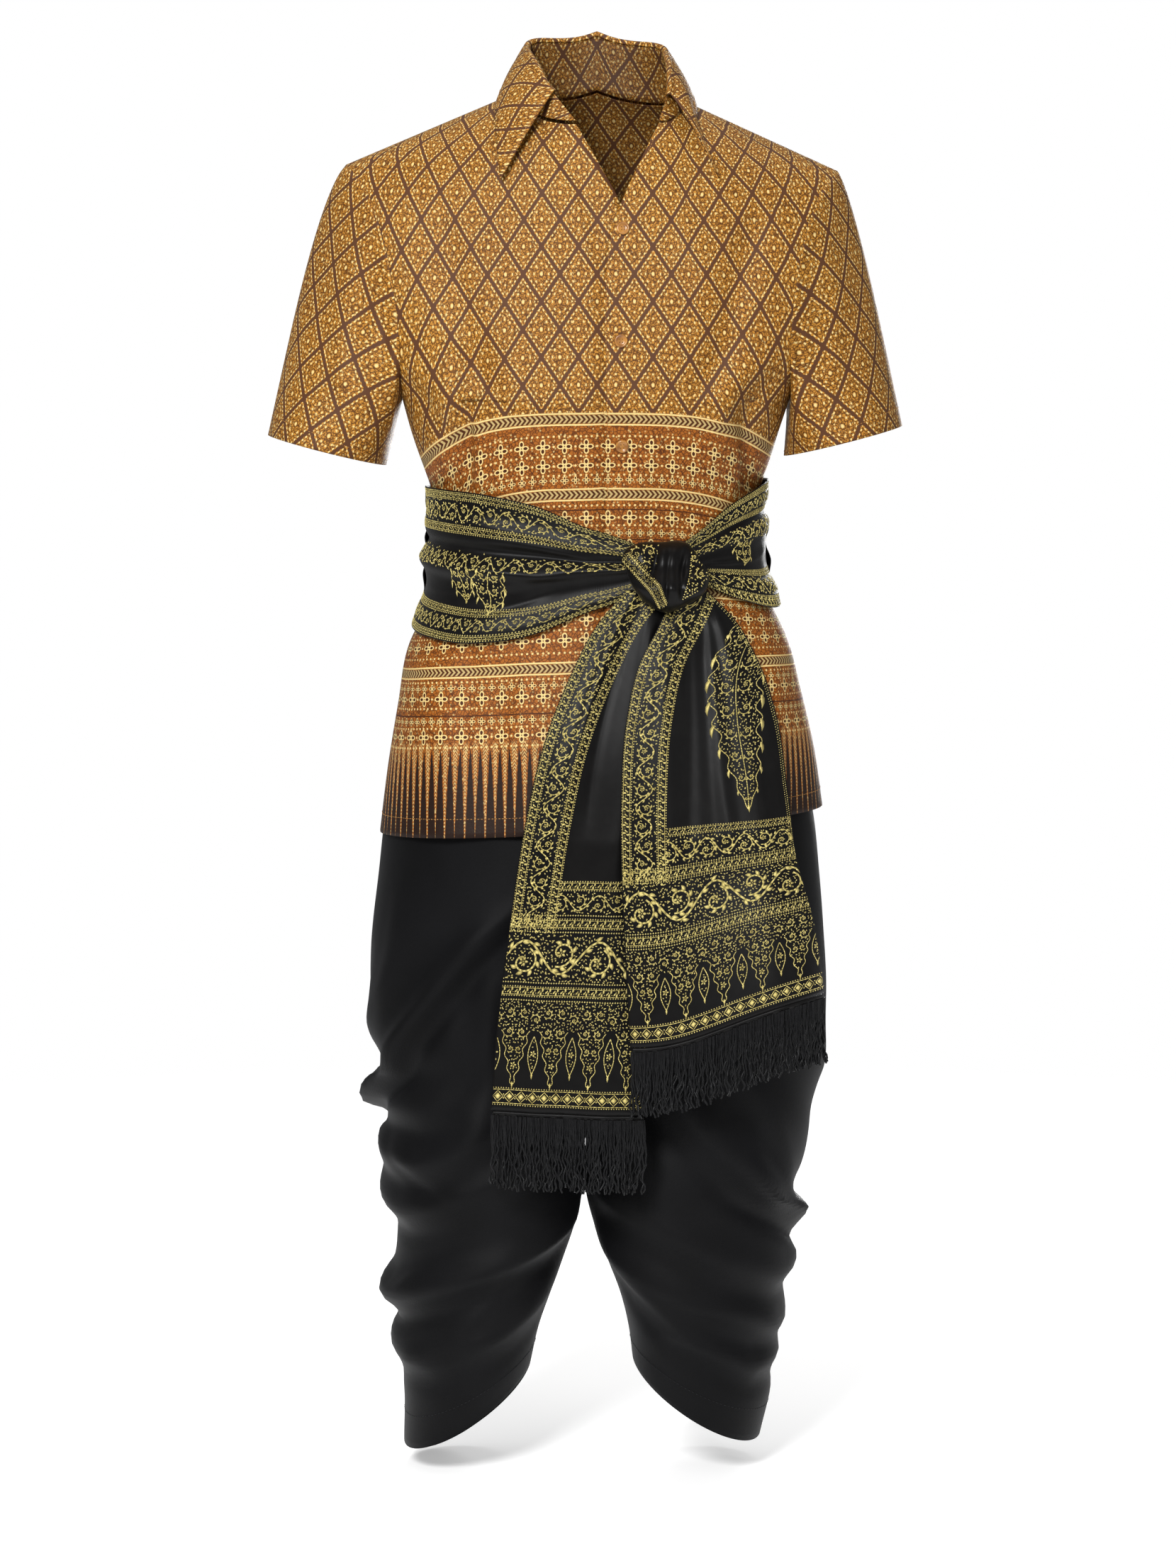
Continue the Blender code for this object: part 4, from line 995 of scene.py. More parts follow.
def back_tail():
    """The drawn-through end of the cloth, pleated and tucked into the back of the waist."""
    across = np.linspace(-1, 1, BACK_TAIL_COLUMNS + 1)
    angles = np.linspace(0.5, math.pi, 60)
    rows = []
    for level in np.linspace(BACK_TAIL_END, BACK_TAIL_TOP, BACK_TAIL_ROWS + 1):
        share = (level - BACK_TAIL_END) / (BACK_TAIL_TOP - BACK_TAIL_END)
        half = 14 + 30 * eased(share * 1.4)
        pleat = 1.1 * np.cos(across * math.pi * BACK_TAIL_PLEATS) * (1 - 0.6 * share)
        x = across * half - 8 * (1 - share)
        right, left = leg_ring("right", level, angles), leg_ring("left", level, angles)
        seat = np.where(
            x < right[-1, 0],
            np.interp(-x, -right[::-1, 0], right[::-1, 1]),
            np.interp(x, left[::-1, 0], left[::-1, 1]),
        )
        drawn = 0.9 + 1.6 + 5 * eased((1 - share) * 3)
        y = seat.max() * 0.4 + seat * 0.6 + drawn + pleat
        rows.append(np.stack([x, y, np.full(len(across), level)], -1))
    points = np.array(rows)[:, ::-1]
    return points, grid_uv(points)


# The sash.


def waist_ring(level, angles, lift):
    """Points round the shirt at the waist, moved out by lift."""
    cosine, sine = np.cos(angles), np.sin(angles)
    power = 2 / TORSO.at("square", level)
    half = np.where(cosine < 0, TORSO.at("right", level), TORSO.at("left", level)) + lift
    depth = np.where(sine < 0, TORSO.at("front", level), TORSO.at("back", level)) + lift
    x = half * np.sign(cosine) * np.abs(cosine) ** power
    y = depth * np.sign(sine) * np.abs(sine) ** power
    tilt = HEM_TILT * (level - ARMPIT) / (HEM - ARMPIT)
    return np.stack(np.broadcast_arrays(x, y, level + tilt * x), -1)


def gathered_to_knot(degrees):
    return 1 - 0.45 * eased((degrees + 110) / 30)


def gathered_from_knot(degrees):
    return 1 - 0.45 * eased((-30 - degrees) / 28)


def level_folds(degrees):
    return np.ones_like(degrees)


class Wrap:
    """One stretch of the sash round the waist. A place on it is a share of its length and a share across."""

    def __init__(self, edges, relief, gathers, width):
        self.edges, self.relief, self.gathers, self.width = edges, relief, gathers, width
        end_gap = math.degrees(SEAM_GAP / 2 / 150)
        self.first, self.last = edges.keys[0] + end_gap, edges.keys[-1] - end_gap
        self.length = math.radians(self.last - self.first) * 128

    def point(self, run, across, off=0.0):
        degrees = self.first + (self.last - self.first) * np.asarray(run, float)
        across = np.asarray(across, float)
        level = self.edges.at("top", degrees)
        level = level + (self.edges.at("bottom", degrees) - level) * across
        small = crease_lift(degrees, across * 100, WRAP_CREASES)
        lift = 1.6 + self.relief.at("lift", across) * self.gathers(degrees) + small + off
        return waist_ring(level, np.radians(degrees), lift)

    def surface(self):
        columns = int((self.last - self.first) * 0.9)
        run, across = np.meshgrid(np.linspace(0, 1, columns + 1), np.linspace(1, 0, WRAP_ROWS + 1))
        uv = np.stack([run * self.length, across * self.width], -1)
        return self.point(run, across), uv


def knot_rim(x, z):
    """The knot's rim leans round the waist, and its lower lip stands over the hanging ends."""
    lip = KNOT_LIP * eased((-412.0 - z) / 24)
    return KNOT_CENTRE[1] + KNOT_TURN * (x - KNOT_CENTRE[0]) - lip


def knot_point(across, up, off=0.0):
    """A point of the knot's front. across and up run from -1 to 1 over the round face."""
    across, up = np.asarray(across, float), np.asarray(up, float)
    reach = np.minimum(np.hypot(across, up), 1.0)
    turn = np.arctan2(up, across)
    outline = KNOT.at("reach", np.degrees(turn)) * reach * (1 + off / KNOT_RADII[0])
    bulge = np.sqrt(np.maximum(1 - reach**2.4, 0.0))
    x = KNOT_RADII[0] * outline * np.cos(turn)
    z = KNOT_RADII[2] * outline * np.sin(turn)
    folds = crease_lift(x, z, KNOT_CREASES) * eased(bulge * 1.6)
    x, z = x + KNOT_CENTRE[0], z + KNOT_CENTRE[2]
    y = knot_rim(x, z) - (KNOT_RADII[1] - 4.0) * bulge - folds - off
    return np.stack([x, y, z], -1)


def knot_place(x, z, off):
    """The knot's surface at a distance from its middle, and which places lie on it."""
    across, up = x / KNOT_RADII[0], z / KNOT_RADII[2]
    reach = KNOT.at("reach", np.degrees(np.arctan2(up, across)))
    return knot_point(across / reach, up / reach, off), np.hypot(across, up) < reach * 0.97


def knot_band_point(share, side, off=0.0):
    """A point of the turn of cloth over the knot. share runs down it and side from -1 to 1 across it."""
    share, side = np.asarray(share, float), np.asarray(side, float)
    x = -0.76 + 0.70 * share
    z = 0.52 - 1.26 * share + 0.04 * np.sin(math.pi * share)
    wide = KNOT_BAND_WIDTH / 2 / KNOT_RADII[0] * side * (0.75 + 0.35 * np.sin(math.pi * share))
    over_knot = 0.6 + 1.4 + 1.2 * (1 - side * side) + 1.6 * share**3
    return knot_point(x + wide * 0.81, z + wide * 0.58, over_knot + off)


def dress_front(x, level):
    """How far forward the dress stands at a place on the front, as a negative Y."""
    half = np.where(x < 0, TORSO.at("right", level), TORSO.at("left", level))
    square = TORSO.at("square", level)
    return -TORSO.at("front", level) * np.maximum(1 - np.abs(x / half) ** square, 0.0) ** (1 / square)


class HangingEnd:
    """A hanging end of the sash. share runs from its inner to its outer edge and down from knot to fringe."""

    def __init__(self, side):
        self.side, self.table = side, TAILS[side]
        self.top, self.end = self.table.keys[-1], self.table.keys[0]
        self.length = 1.02 * (self.top - self.end)

    def width(self, down):
        level = self.top + (self.end - self.top) * down
        return np.abs(self.table.at("outer", level) - self.table.at("inner", level)) * 1.06

    def point(self, share, down, off=0.0):
        share, down = np.asarray(share, float), np.asarray(down, float)
        table = self.table
        level = self.top + (self.end - self.top) * down
        inner, outer = table.at("inner", level), table.at("outer", level)
        x = inner + (outer - inner) * share
        rise = TAIL_END_RISE[self.side] * eased(share) * eased((down - 0.35) / 0.65)
        off_inner, off_outer = table.at("off_inner", level), table.at("off_outer", level)
        y = dress_front(x, level) - off_inner - (off_outer - off_inner) * share - off
        for centre, lift, spread, fade in TAIL_FOLDS[self.side]:
            strength = (0.4 + 0.6 * eased(down * 7)) * (1 - fade * down * 0.6)
            y = y - lift * strength * np.exp(-(((share - centre) / spread) ** 2))
        y = y - crease_lift(share * 100, down * 100, TAIL_CREASES[self.side])
        return np.stack(np.broadcast_arrays(x, y, level + rise), -1)

    def surface(self):
        share, down = np.meshgrid(np.linspace(0, 1, TAIL_COLUMNS + 1), np.linspace(1, 0, TAIL_ROWS + 1))
        points = self.point(share, down)
        uv = np.stack([share * self.width(down), down * self.length], -1)
        if normals(points)[0, 0, 1] > 0:
            points, uv = points[:, ::-1], uv[:, ::-1]
        return points, uv


# Turning surfaces into cloth.


def cloth_mesh(name, points, uv, girth=None):
    """A surface through a grid of points with its UVs, facing column step x row step.

    girth closes the grid into a tube, and says how far the UVs run in one turn.
    """
    closed = girth is not None
    rows, columns = points.shape[:2]
    last = columns if closed else columns - 1
    row, column = np.meshgrid(np.arange(rows - 1), np.arange(last), indexing="ij")
    after = (column + 1) % columns
    corners = np.stack([row * columns + column, row * columns + after], -1)
    corners = np.concatenate([corners, corners[..., ::-1] + columns], -1).reshape(-1, 4)
    mesh = bpy.data.meshes.new(name)
    mesh.from_pydata((points.reshape(-1, 3) * MM).tolist(), [], corners.tolist())
    layer = mesh.uv_layers.new(name="cloth")
    place = uv.reshape(-1, 2)[corners.reshape(-1)] * MM
    if closed:
        seam = (column == columns - 1).reshape(-1)
        place.reshape(-1, 4, 2)[seam, 1:3, 0] += girth * MM
    layer.data.foreach_set("uv", place.astype(np.float32).reshape(-1))
    return mesh


def cloth_piece(name, surface, thickness, materials, girth=None, merge=False):
    """A thin shell of cloth behind a surface: outer side, wrong side and edges."""
    points, uv = surface
    mesh = cloth_mesh(name, points, uv, girth)
    if merge:
        shape = bmesh.new()
        shape.from_mesh(mesh)
        bmesh.ops.remove_doubles(shape, verts=shape.verts, dist=0.000001)
        shape.to_mesh(mesh)
        shape.free()
    for material in materials:
        mesh.materials.append(material)
    mesh.shade_smooth()
    piece = bpy.data.objects.new(name, mesh)
    bpy.context.scene.collection.objects.link(piece)
    wall = piece.modifiers.new("wall", "SOLIDIFY")
    wall.thickness = thickness * MM
    wall.offset = -1.0
    wall.use_quality_normals = True
    # With two materials, the wrong side and the edges take the second; on the shirt that is the print
    # darkened as painted shade, so the edges draw painted shadow lines along seams, hems and the front edge.
    wall.material_offset = 1 if len(materials) > 1 else 0
    wall.material_offset_rim = 1 if len(materials) > 1 else 0
    return piece


def finished(piece):
    """Replaces a piece's modifiers by their result."""
    graph = bpy.context.evaluated_depsgraph_get()
    made = bpy.data.meshes.new_from_object(piece.evaluated_get(graph))
    piece.modifiers.clear()
    piece.data = made
    made.name = piece.name
    return piece


# Finishes.


class Field:
    """A number that varies over a surface, worked out by Math nodes."""

    tree = None

    def __init__(self, socket):
        self.socket = socket

    @staticmethod
    def math(operation, *values, clamp=False):
        node = Field.tree.nodes.new("ShaderNodeMath")
        node.operation = operation
        node.use_clamp = clamp
        for slot, value in zip(node.inputs, values, strict=False):
            if isinstance(value, Field):
                Field.tree.links.new(value.socket, slot)
            else:
                slot.default_value = value
        return Field(node.outputs[0])

    def __add__(self, other):
        return Field.math("ADD", self, other)

    def __sub__(self, other):
        return Field.math("SUBTRACT", self, other)

    def __mul__(self, other):
        return Field.math("MULTIPLY", self, other)

    def __truediv__(self, other):
        return Field.math("DIVIDE", self, other)

    def __neg__(self):
        return Field.math("MULTIPLY", self, -1.0)

    def __abs__(self):
        return Field.math("ABSOLUTE", self)

    def __pow__(self, other):
        return Field.math("POWER", self, other)


def larger(a, b):
    return Field.math("MAXIMUM", a, b)


def smaller(a, b):
    return Field.math("MINIMUM", a, b)


def inverted(field):
    return Field.math("SUBTRACT", 1.0, field)


def repeated(field, pitch, start=0.0):
    """Distance from the nearest of a row of places, one pitch apart."""
    return Field.math("WRAP", field - start, pitch / 2, -pitch / 2)


def wave(field, pitch):
    """From -1 to 1 and back in every pitch, highest at 0."""
    return Field.math("COSINE", field * (2 * math.pi / pitch))


def under(field, edge, soft=0.5):
    """1 where a number is below an edge and 0 above it."""
    return Field.math("MULTIPLY_ADD", field, -1.0 / soft, edge / soft + 0.5, clamp=True)


def over(field, edge, soft=0.5):
    return Field.math("MULTIPLY_ADD", field, 1.0 / soft, 0.5 - edge / soft, clamp=True)


def between(field, low, high, soft=0.5):
    return under(abs(field - (low + high) / 2), (high - low) / 2, soft)


def hypotenuse(a, b):
    return Field.math("SQRT", Field.math("MULTIPLY_ADD", a, a, b * b))


def noise(scale, detail=2.0, source=None):
    node = Field.tree.nodes.new("ShaderNodeTexNoise")
    node.inputs["Scale"].default_value = scale
    node.inputs["Detail"].default_value = detail
    Field.tree.links.new(source or object_place(), node.inputs["Vector"])
    return Field(node.outputs[0])


def object_place():
    return Field.tree.nodes.new("ShaderNodeTexCoord").outputs["Object"]


def cloth_place():
    """The UV map of a cloth as two numbers in millimetres, across and along."""
    source = Field.tree.nodes.new("ShaderNodeUVMap")
    source.uv_map = "cloth"
    parts = Field.tree.nodes.new("ShaderNodeSeparateXYZ")
    Field.tree.links.new(source.outputs[0], parts.inputs[0])
    return Field(parts.outputs[0]) * 1000.0, Field(parts.outputs[1]) * 1000.0, source.outputs[0]


def linear(red, green, blue):
    """A colour as it looks on a screen, from 0 to 255, turned into a shader's colour."""
    shares = [c / 255 for c in (red, green, blue)]
    return (*[((c + 0.055) / 1.055) ** 2.4 if c > 10 / 255 else c / 12.92 for c in shares], 1.0)


def painted(ground, *coats):
    """Colours laid over each other. Each coat is a colour and where it lies."""
    below = ground
    for colour, where in coats:
        node = Field.tree.nodes.new("ShaderNodeMix")
        node.data_type = "RGBA"
        Field.tree.links.new(where.socket, node.inputs["Factor"])
        for slot, value in ((6, below), (7, colour)):
            if isinstance(value, bpy.types.NodeSocket):
                Field.tree.links.new(value, node.inputs[slot])
            else:
                node.inputs[slot].default_value = value
        below = node.outputs[2]
    return below


def new_finish(name, **sockets):
    """A new material, with numbers set on its shader's own sockets, and its tree open for Math nodes."""
    material = bpy.data.materials.new(name)
    material.use_nodes = True
    Field.tree = material.node_tree
    shader = material.node_tree.nodes["Principled BSDF"]
    for socket, value in sockets.items():
        shader.inputs[socket.replace("_", " ")].default_value = value
    return material, shader


def coloured(shader, colour):
    Field.tree.links.new(colour, shader.inputs["Base Color"])


def raised(shader, height, strength, distance):
    bump = Field.tree.nodes.new("ShaderNodeBump")
    bump.inputs["Strength"].default_value = strength
    bump.inputs["Distance"].default_value = distance
    Field.tree.links.new(height.socket, bump.inputs["Height"])
    Field.tree.links.new(bump.outputs[0], shader.inputs["Normal"])


# The print: a lattice of lozenges above, flower bands round the waist, and rays along the hem.
LOZENGE_WIDTH = 33.0
LOZENGE_HEIGHT = 49.0
LATTICE_END = -278.0
FLOWER_PITCH = 19.3
RAY_PITCH = 9.3
RAY_TOP = -568.0
# Height of each band's middle.
BORDERS = (-284.0, -351.0, -438.0, -504.5)
FLOWER_ROWS = (-308.0, -325.0, -372.0, -398.0, -415.0, -462.0, -480.0, -528.5, -562.0)
SMALL_FLOWER_ROWS = (-338.0, -386.0, -449.0, -519.0, -548.5)
DOT_ROWS = (
    *(-299.0, -316.5, -333.5, -361.0, -379.0, -406.5, -426.0),
    *(-471.0, -491.0, -513.5, -537.0, -554.5, -571.0),
)
THIN_LINES = (-365.0, -392.0, -543.5)

GOLD = linear(196, 138, 54)
DEEP_GOLD = linear(146, 90, 32)
ORANGE = linear(154, 86, 28)
CREAM = linear(240, 212, 142)
LATTICE_BROWN = linear(88, 56, 36)
RED_BROWN = linear(66, 32, 14)
DARK_BROWN = linear(36, 22, 16)


def lattice_coats(across, along):
    """The lattice's lines, its dotted edges and the ornament in each lozenge."""
    a, b = across / LOZENGE_WIDTH, (along - LATTICE_END) / LOZENGE_HEIGHT
    one, two = repeated(a + b, 1.0), repeated(a - b, 1.0)
    edge = larger(abs(one), abs(two)) * 2.0
    beside = smaller(abs(one), abs(two)) * 2.0
    x, y = (one + two) * (LOZENGE_WIDTH / 2), (one - two) * (LOZENGE_HEIGHT / 2)
    scallop = wave(beside, 0.286)
    line = over(edge + scallop * 0.02, 0.885, 0.03)
    dots = between(edge, 0.77, 0.85, 0.03) * over(scallop, 0.1, 0.4)
    radius = hypotenuse(x, y * 0.7)
    angle = Field.math("ARCTAN2", y * 0.7, x)
    petals, fine_petals = wave(angle, math.pi / 4), wave(angle, math.pi / 7)
    flower = radius + petals * 1.0
    leaves = radius + fine_petals * 0.9
    tips = edge + scallop * 0.03
    hairlines = larger(between(flower, 4.3, 5.1, 0.5), between(leaves, 8.1, 8.8, 0.5))
    hairlines = larger(hairlines, between(tips, 0.70, 0.735, 0.03))
    hairlines = larger(hairlines, between(radius, 1.8, 2.5, 0.4))
    spots = larger(between(radius, 6.0, 7.2, 0.5) * over(petals, 0.55, 0.3), under(radius, 1.2, 0.5))
    petal_ring = between(radius, 10.2, 11.4, 0.5) * over(fine_petals, 0.5, 0.4)
    spots = larger(spots, petal_ring * under(edge, 0.68, 0.03))
    return line, dots, hairlines, spots


def four_petals(x, y, reach):
    """A flower of four petals: its pale outline and its dark inside."""
    near, far = smaller(abs(x), abs(y)), larger(abs(x), abs(y))
    petal = hypotenuse((far - reach * 0.58) / (reach * 0.5), near / (reach * 0.36))
    outline = between(petal, 0.62, 1.0, 0.16)
    inside = larger(under(petal, 0.6, 0.2), under(near + far, reach * 0.22, 0.4))
    return outline, inside


def nearest_row(along, rows):
    """Distance from the nearest of some heights, as one number for all of them."""
    found = along - rows[0]
    for row in rows[1:]:
        other = along - row
        closer = Field.math("LESS_THAN", abs(other), abs(found))
        found = found + closer * (other - found)
    return found


def band_coats(across, along):
    """The flower bands between their borders."""
    row = nearest_row(along, FLOWER_ROWS)
    here = repeated(across, FLOWER_PITCH, FLOWER_PITCH / 2)
    outline, inside = four_petals(here, row, 6.2)
    close = under(abs(row), 8.0, 1.0)
    outline, inside = outline * close, inside * close
    midway = repeated(across, FLOWER_PITCH)
    lozenge = abs(midway) / 3.6 + abs(row) / 6.6
    brown = between(lozenge, 0.82, 1.0, 0.15) * close
    small_row = nearest_row(along, SMALL_FLOWER_ROWS)
    small_here = repeated(across, FLOWER_PITCH / 2)
    small_outline, small_inside = four_petals(small_here, small_row, 3.4)
    small_close = under(abs(small_row), 4.2, 0.5)
    dot_row = nearest_row(along, DOT_ROWS)
    dots = under(hypotenuse(repeated(across, FLOWER_PITCH / 4), dot_row), 0.95, 0.6)
    dots = larger(dots, under(hypotenuse(midway, row), 1.0, 0.6) * close)
    border = nearest_row(along, BORDERS)
    lines = between(abs(border), 4.2, 5.6, 0.5)
    rope = under(abs(border), 3.6, 0.6)
    rope_twist = over(wave(across + abs(border) * 0.9, 4.4), 0.1, 0.5)
    thin = under(abs(nearest_row(along, THIN_LINES)), 0.55, 0.5)
    pale = larger(larger(outline, small_outline * small_close), larger(dots, lines))
    pale = larger(pale, rope * rope_twist * 0.6)
    dark = larger(larger(inside, small_inside * small_close), larger(brown * 0.8, thin))
    dark = larger(dark, rope * 0.9)
    return pale, dark


def ray_coats(across, along):
    """The pointed rays along the hem: the dark gaps between them and the pale dots on them."""
    here = repeated(across, RAY_PITCH)
    wide = Field.math("SIGN", repeated(across, RAY_PITCH * 2, RAY_PITCH / 2)) * 0.28
    down = Field.math("MULTIPLY_ADD", along, -1 / 74.0, (RAY_TOP - 4) / 74.0, clamp=True)
    half = (down**0.6) * -4.5 + 4.9 + wide * down
    gap = over(abs(here) - half, 0.0, 0.5) * under(along, RAY_TOP - 4, 2.0)
    bead = over(wave(along + abs(here) * 1.5, 3.1), 0.0, 0.6) * under(abs(here) - half * 0.55, 0.0, 0.5)
    return gap, bead * under(along, RAY_TOP, 4.0)


def make_print(name, brightness_after_painted_shade):
    """Printed cotton with a soft sheen. The last argument is how much of the print's brightness is kept;
    below 1 the print is darkened towards brown as painted shade.
    """
    material, shader = new_finish(
        name, Roughness=0.45, Specular_IOR_Level=0.14, Sheen_Weight=0.0, Sheen_Roughness=0.35
    )
    across, along, place = cloth_place()
    line, edge_dots, hairlines, spots = lattice_coats(across, along)
    pale, dark = band_coats(across, along)
    gap, bead = ray_coats(across, along)
    upper = over(along, LATTICE_END, 0.4)
    lower = inverted(upper)
    patches = over(noise(9.0, 3.0), 0.5, 0.7)
    cells = Field.tree.nodes.new("ShaderNodeTexVoronoi")
    cells.feature = "DISTANCE_TO_EDGE"
    cells.inputs["Scale"].default_value = 330.0
    Field.tree.links.new(place, cells.inputs["Vector"])
    filigree = under(Field(cells.outputs["Distance"]), 0.09, 0.08)
    grain = Field.tree.nodes.new("ShaderNodeTexVoronoi")
    grain.inputs["Scale"].default_value = 240.0
    Field.tree.links.new(place, grain.inputs["Vector"])
    flecks = under(Field(grain.outputs["Distance"]), 0.2, 0.12)
    not_line = inverted(line) * upper
    ground = painted(GOLD, (DEEP_GOLD, patches * 0.6), (ORANGE, lower * 0.9))
    colour = painted(
        ground,
        (RED_BROWN, filigree * 0.78),
        (CREAM, flecks * 0.5),
        (RED_BROWN, hairlines * not_line * 0.8),
        (CREAM, spots * not_line * 0.85),
        (LATTICE_BROWN, line * upper),
        (CREAM, edge_dots * upper * 0.95),
        (RED_BROWN, dark * lower),
        (CREAM, pale * lower * 0.86),
        (CREAM, bead * 0.5),
        (DARK_BROWN, gap),
    )
    # Painted shade: the print darkened towards brown, standing in for the shade inside the shirt and along
    # its cut edges.
    if brightness_after_painted_shade < 1.0:
        painted_shade = Field.tree.nodes.new("ShaderNodeMix")
        painted_shade.data_type = "RGBA"
        painted_shade.inputs["Factor"].default_value = 1.0 - brightness_after_painted_shade
        painted_shade.inputs[7].default_value = linear(46, 28, 18)
        Field.tree.links.new(colour, painted_shade.inputs[6])
        colour = painted_shade.outputs[2]
    coloured(shader, colour)
    weave = wave(across, 0.9) * wave(along, 0.9)
    raised(shader, weave * 0.35 + filigree * -0.5 + noise(260.0, 2.0), 0.28, 0.0006)
    return material


def make_trouser_cloth():
    material, shader = new_finish(
        "trouser_cloth_woven",
        Roughness=0.52,
        Specular_IOR_Level=0.1,
        Sheen_Weight=0.02,
        Sheen_Roughness=0.4,
    )
    shader.inputs["Sheen Tint"].default_value = (0.75, 0.78, 0.85, 1.0)
    across, along, _ = cloth_place()
    twill = wave(across + along, 1.1)
    wear = noise(14.0, 4.0)
    coloured(shader, painted(linear(8, 8, 9), (linear(17, 17, 19), over(wear, 0.5, 0.4) * 0.6)))
    raised(shader, twill * 0.3 + noise(420.0, 3.0), 0.3, 0.0005)
    return material


def make_satin(name, ground):
    material, shader = new_finish(name, Roughness=0.36, Specular_IOR_Level=0.14, Sheen_Weight=0.01)
    across, along, _ = cloth_place()
    threads = wave(across, 0.7)
    slubs = noise(60.0, 3.0)
    coloured(shader, painted(ground, (linear(24, 23, 22), over(slubs, 0.6, 0.4) * 0.35)))
    raised(shader, threads * 0.3 + slubs, 0.25, 0.0005)
    return material


def make_gold_thread(name, colour, dull):
    material, shader = new_finish(name, Metallic=0.2, Roughness=0.4, Specular_IOR_Level=0.5)
    place = object_place()
    parts = Field.tree.nodes.new("ShaderNodeSeparateXYZ")
    Field.tree.links.new(place, parts.inputs[0])
    x, z = Field(parts.outputs[0]) * 1000.0, Field(parts.outputs[2]) * 1000.0
    threads = wave(x + z * 0.5, 0.9)
    twist = (dull, over(threads, 0.3, 0.9) * 0.5)
    wear = (dull, over(noise(90.0), 0.55, 0.3) * 0.5)
    coloured(shader, painted(colour, twist, wear))
    raised(shader, threads, 0.4, 0.0004)
    return material


def make_yarn():
    material, shader = new_finish(
        "fringe_yarn_twisted", Roughness=0.4, Specular_IOR_Level=0.2, Sheen_Weight=0.02
    )
    coloured(shader, painted(linear(7, 7, 8), (linear(24, 24, 26), over(noise(300.0), 0.5, 0.4) * 0.5)))
    raised(shader, noise(900.0, 1.0), 0.4, 0.0004)
    return material


def make_button_finish():
    material, shader = new_finish(
        "button_polished", Roughness=0.3, Specular_IOR_Level=0.55, Coat_Weight=0.25, Coat_Roughness=0.2
    )
    clouds = noise(120.0, 3.0)
    coloured(shader, painted(linear(186, 128, 54), (linear(128, 80, 34), over(clouds, 0.5, 0.3))))
    raised(shader, clouds, 0.1, 0.0004)
    return material


def make_thread(name, colour, dull):
    material, shader = new_finish(name, Roughness=0.6, Specular_IOR_Level=0.2)
    coloured(shader, painted(colour, (dull, over(noise(700.0), 0.5, 0.4))))
    return material


# The sash's brocade: figures of gold thread, laid out flat in millimetres and then brought onto the cloth.
GOLD_RIM = 0.1
GOLD_LIFT = 0.42
GUARD = 10.6
SCROLL = 22.5
LEAF_SHARES = (0.0, 0.16, 0.4, 0.68, 1.0)


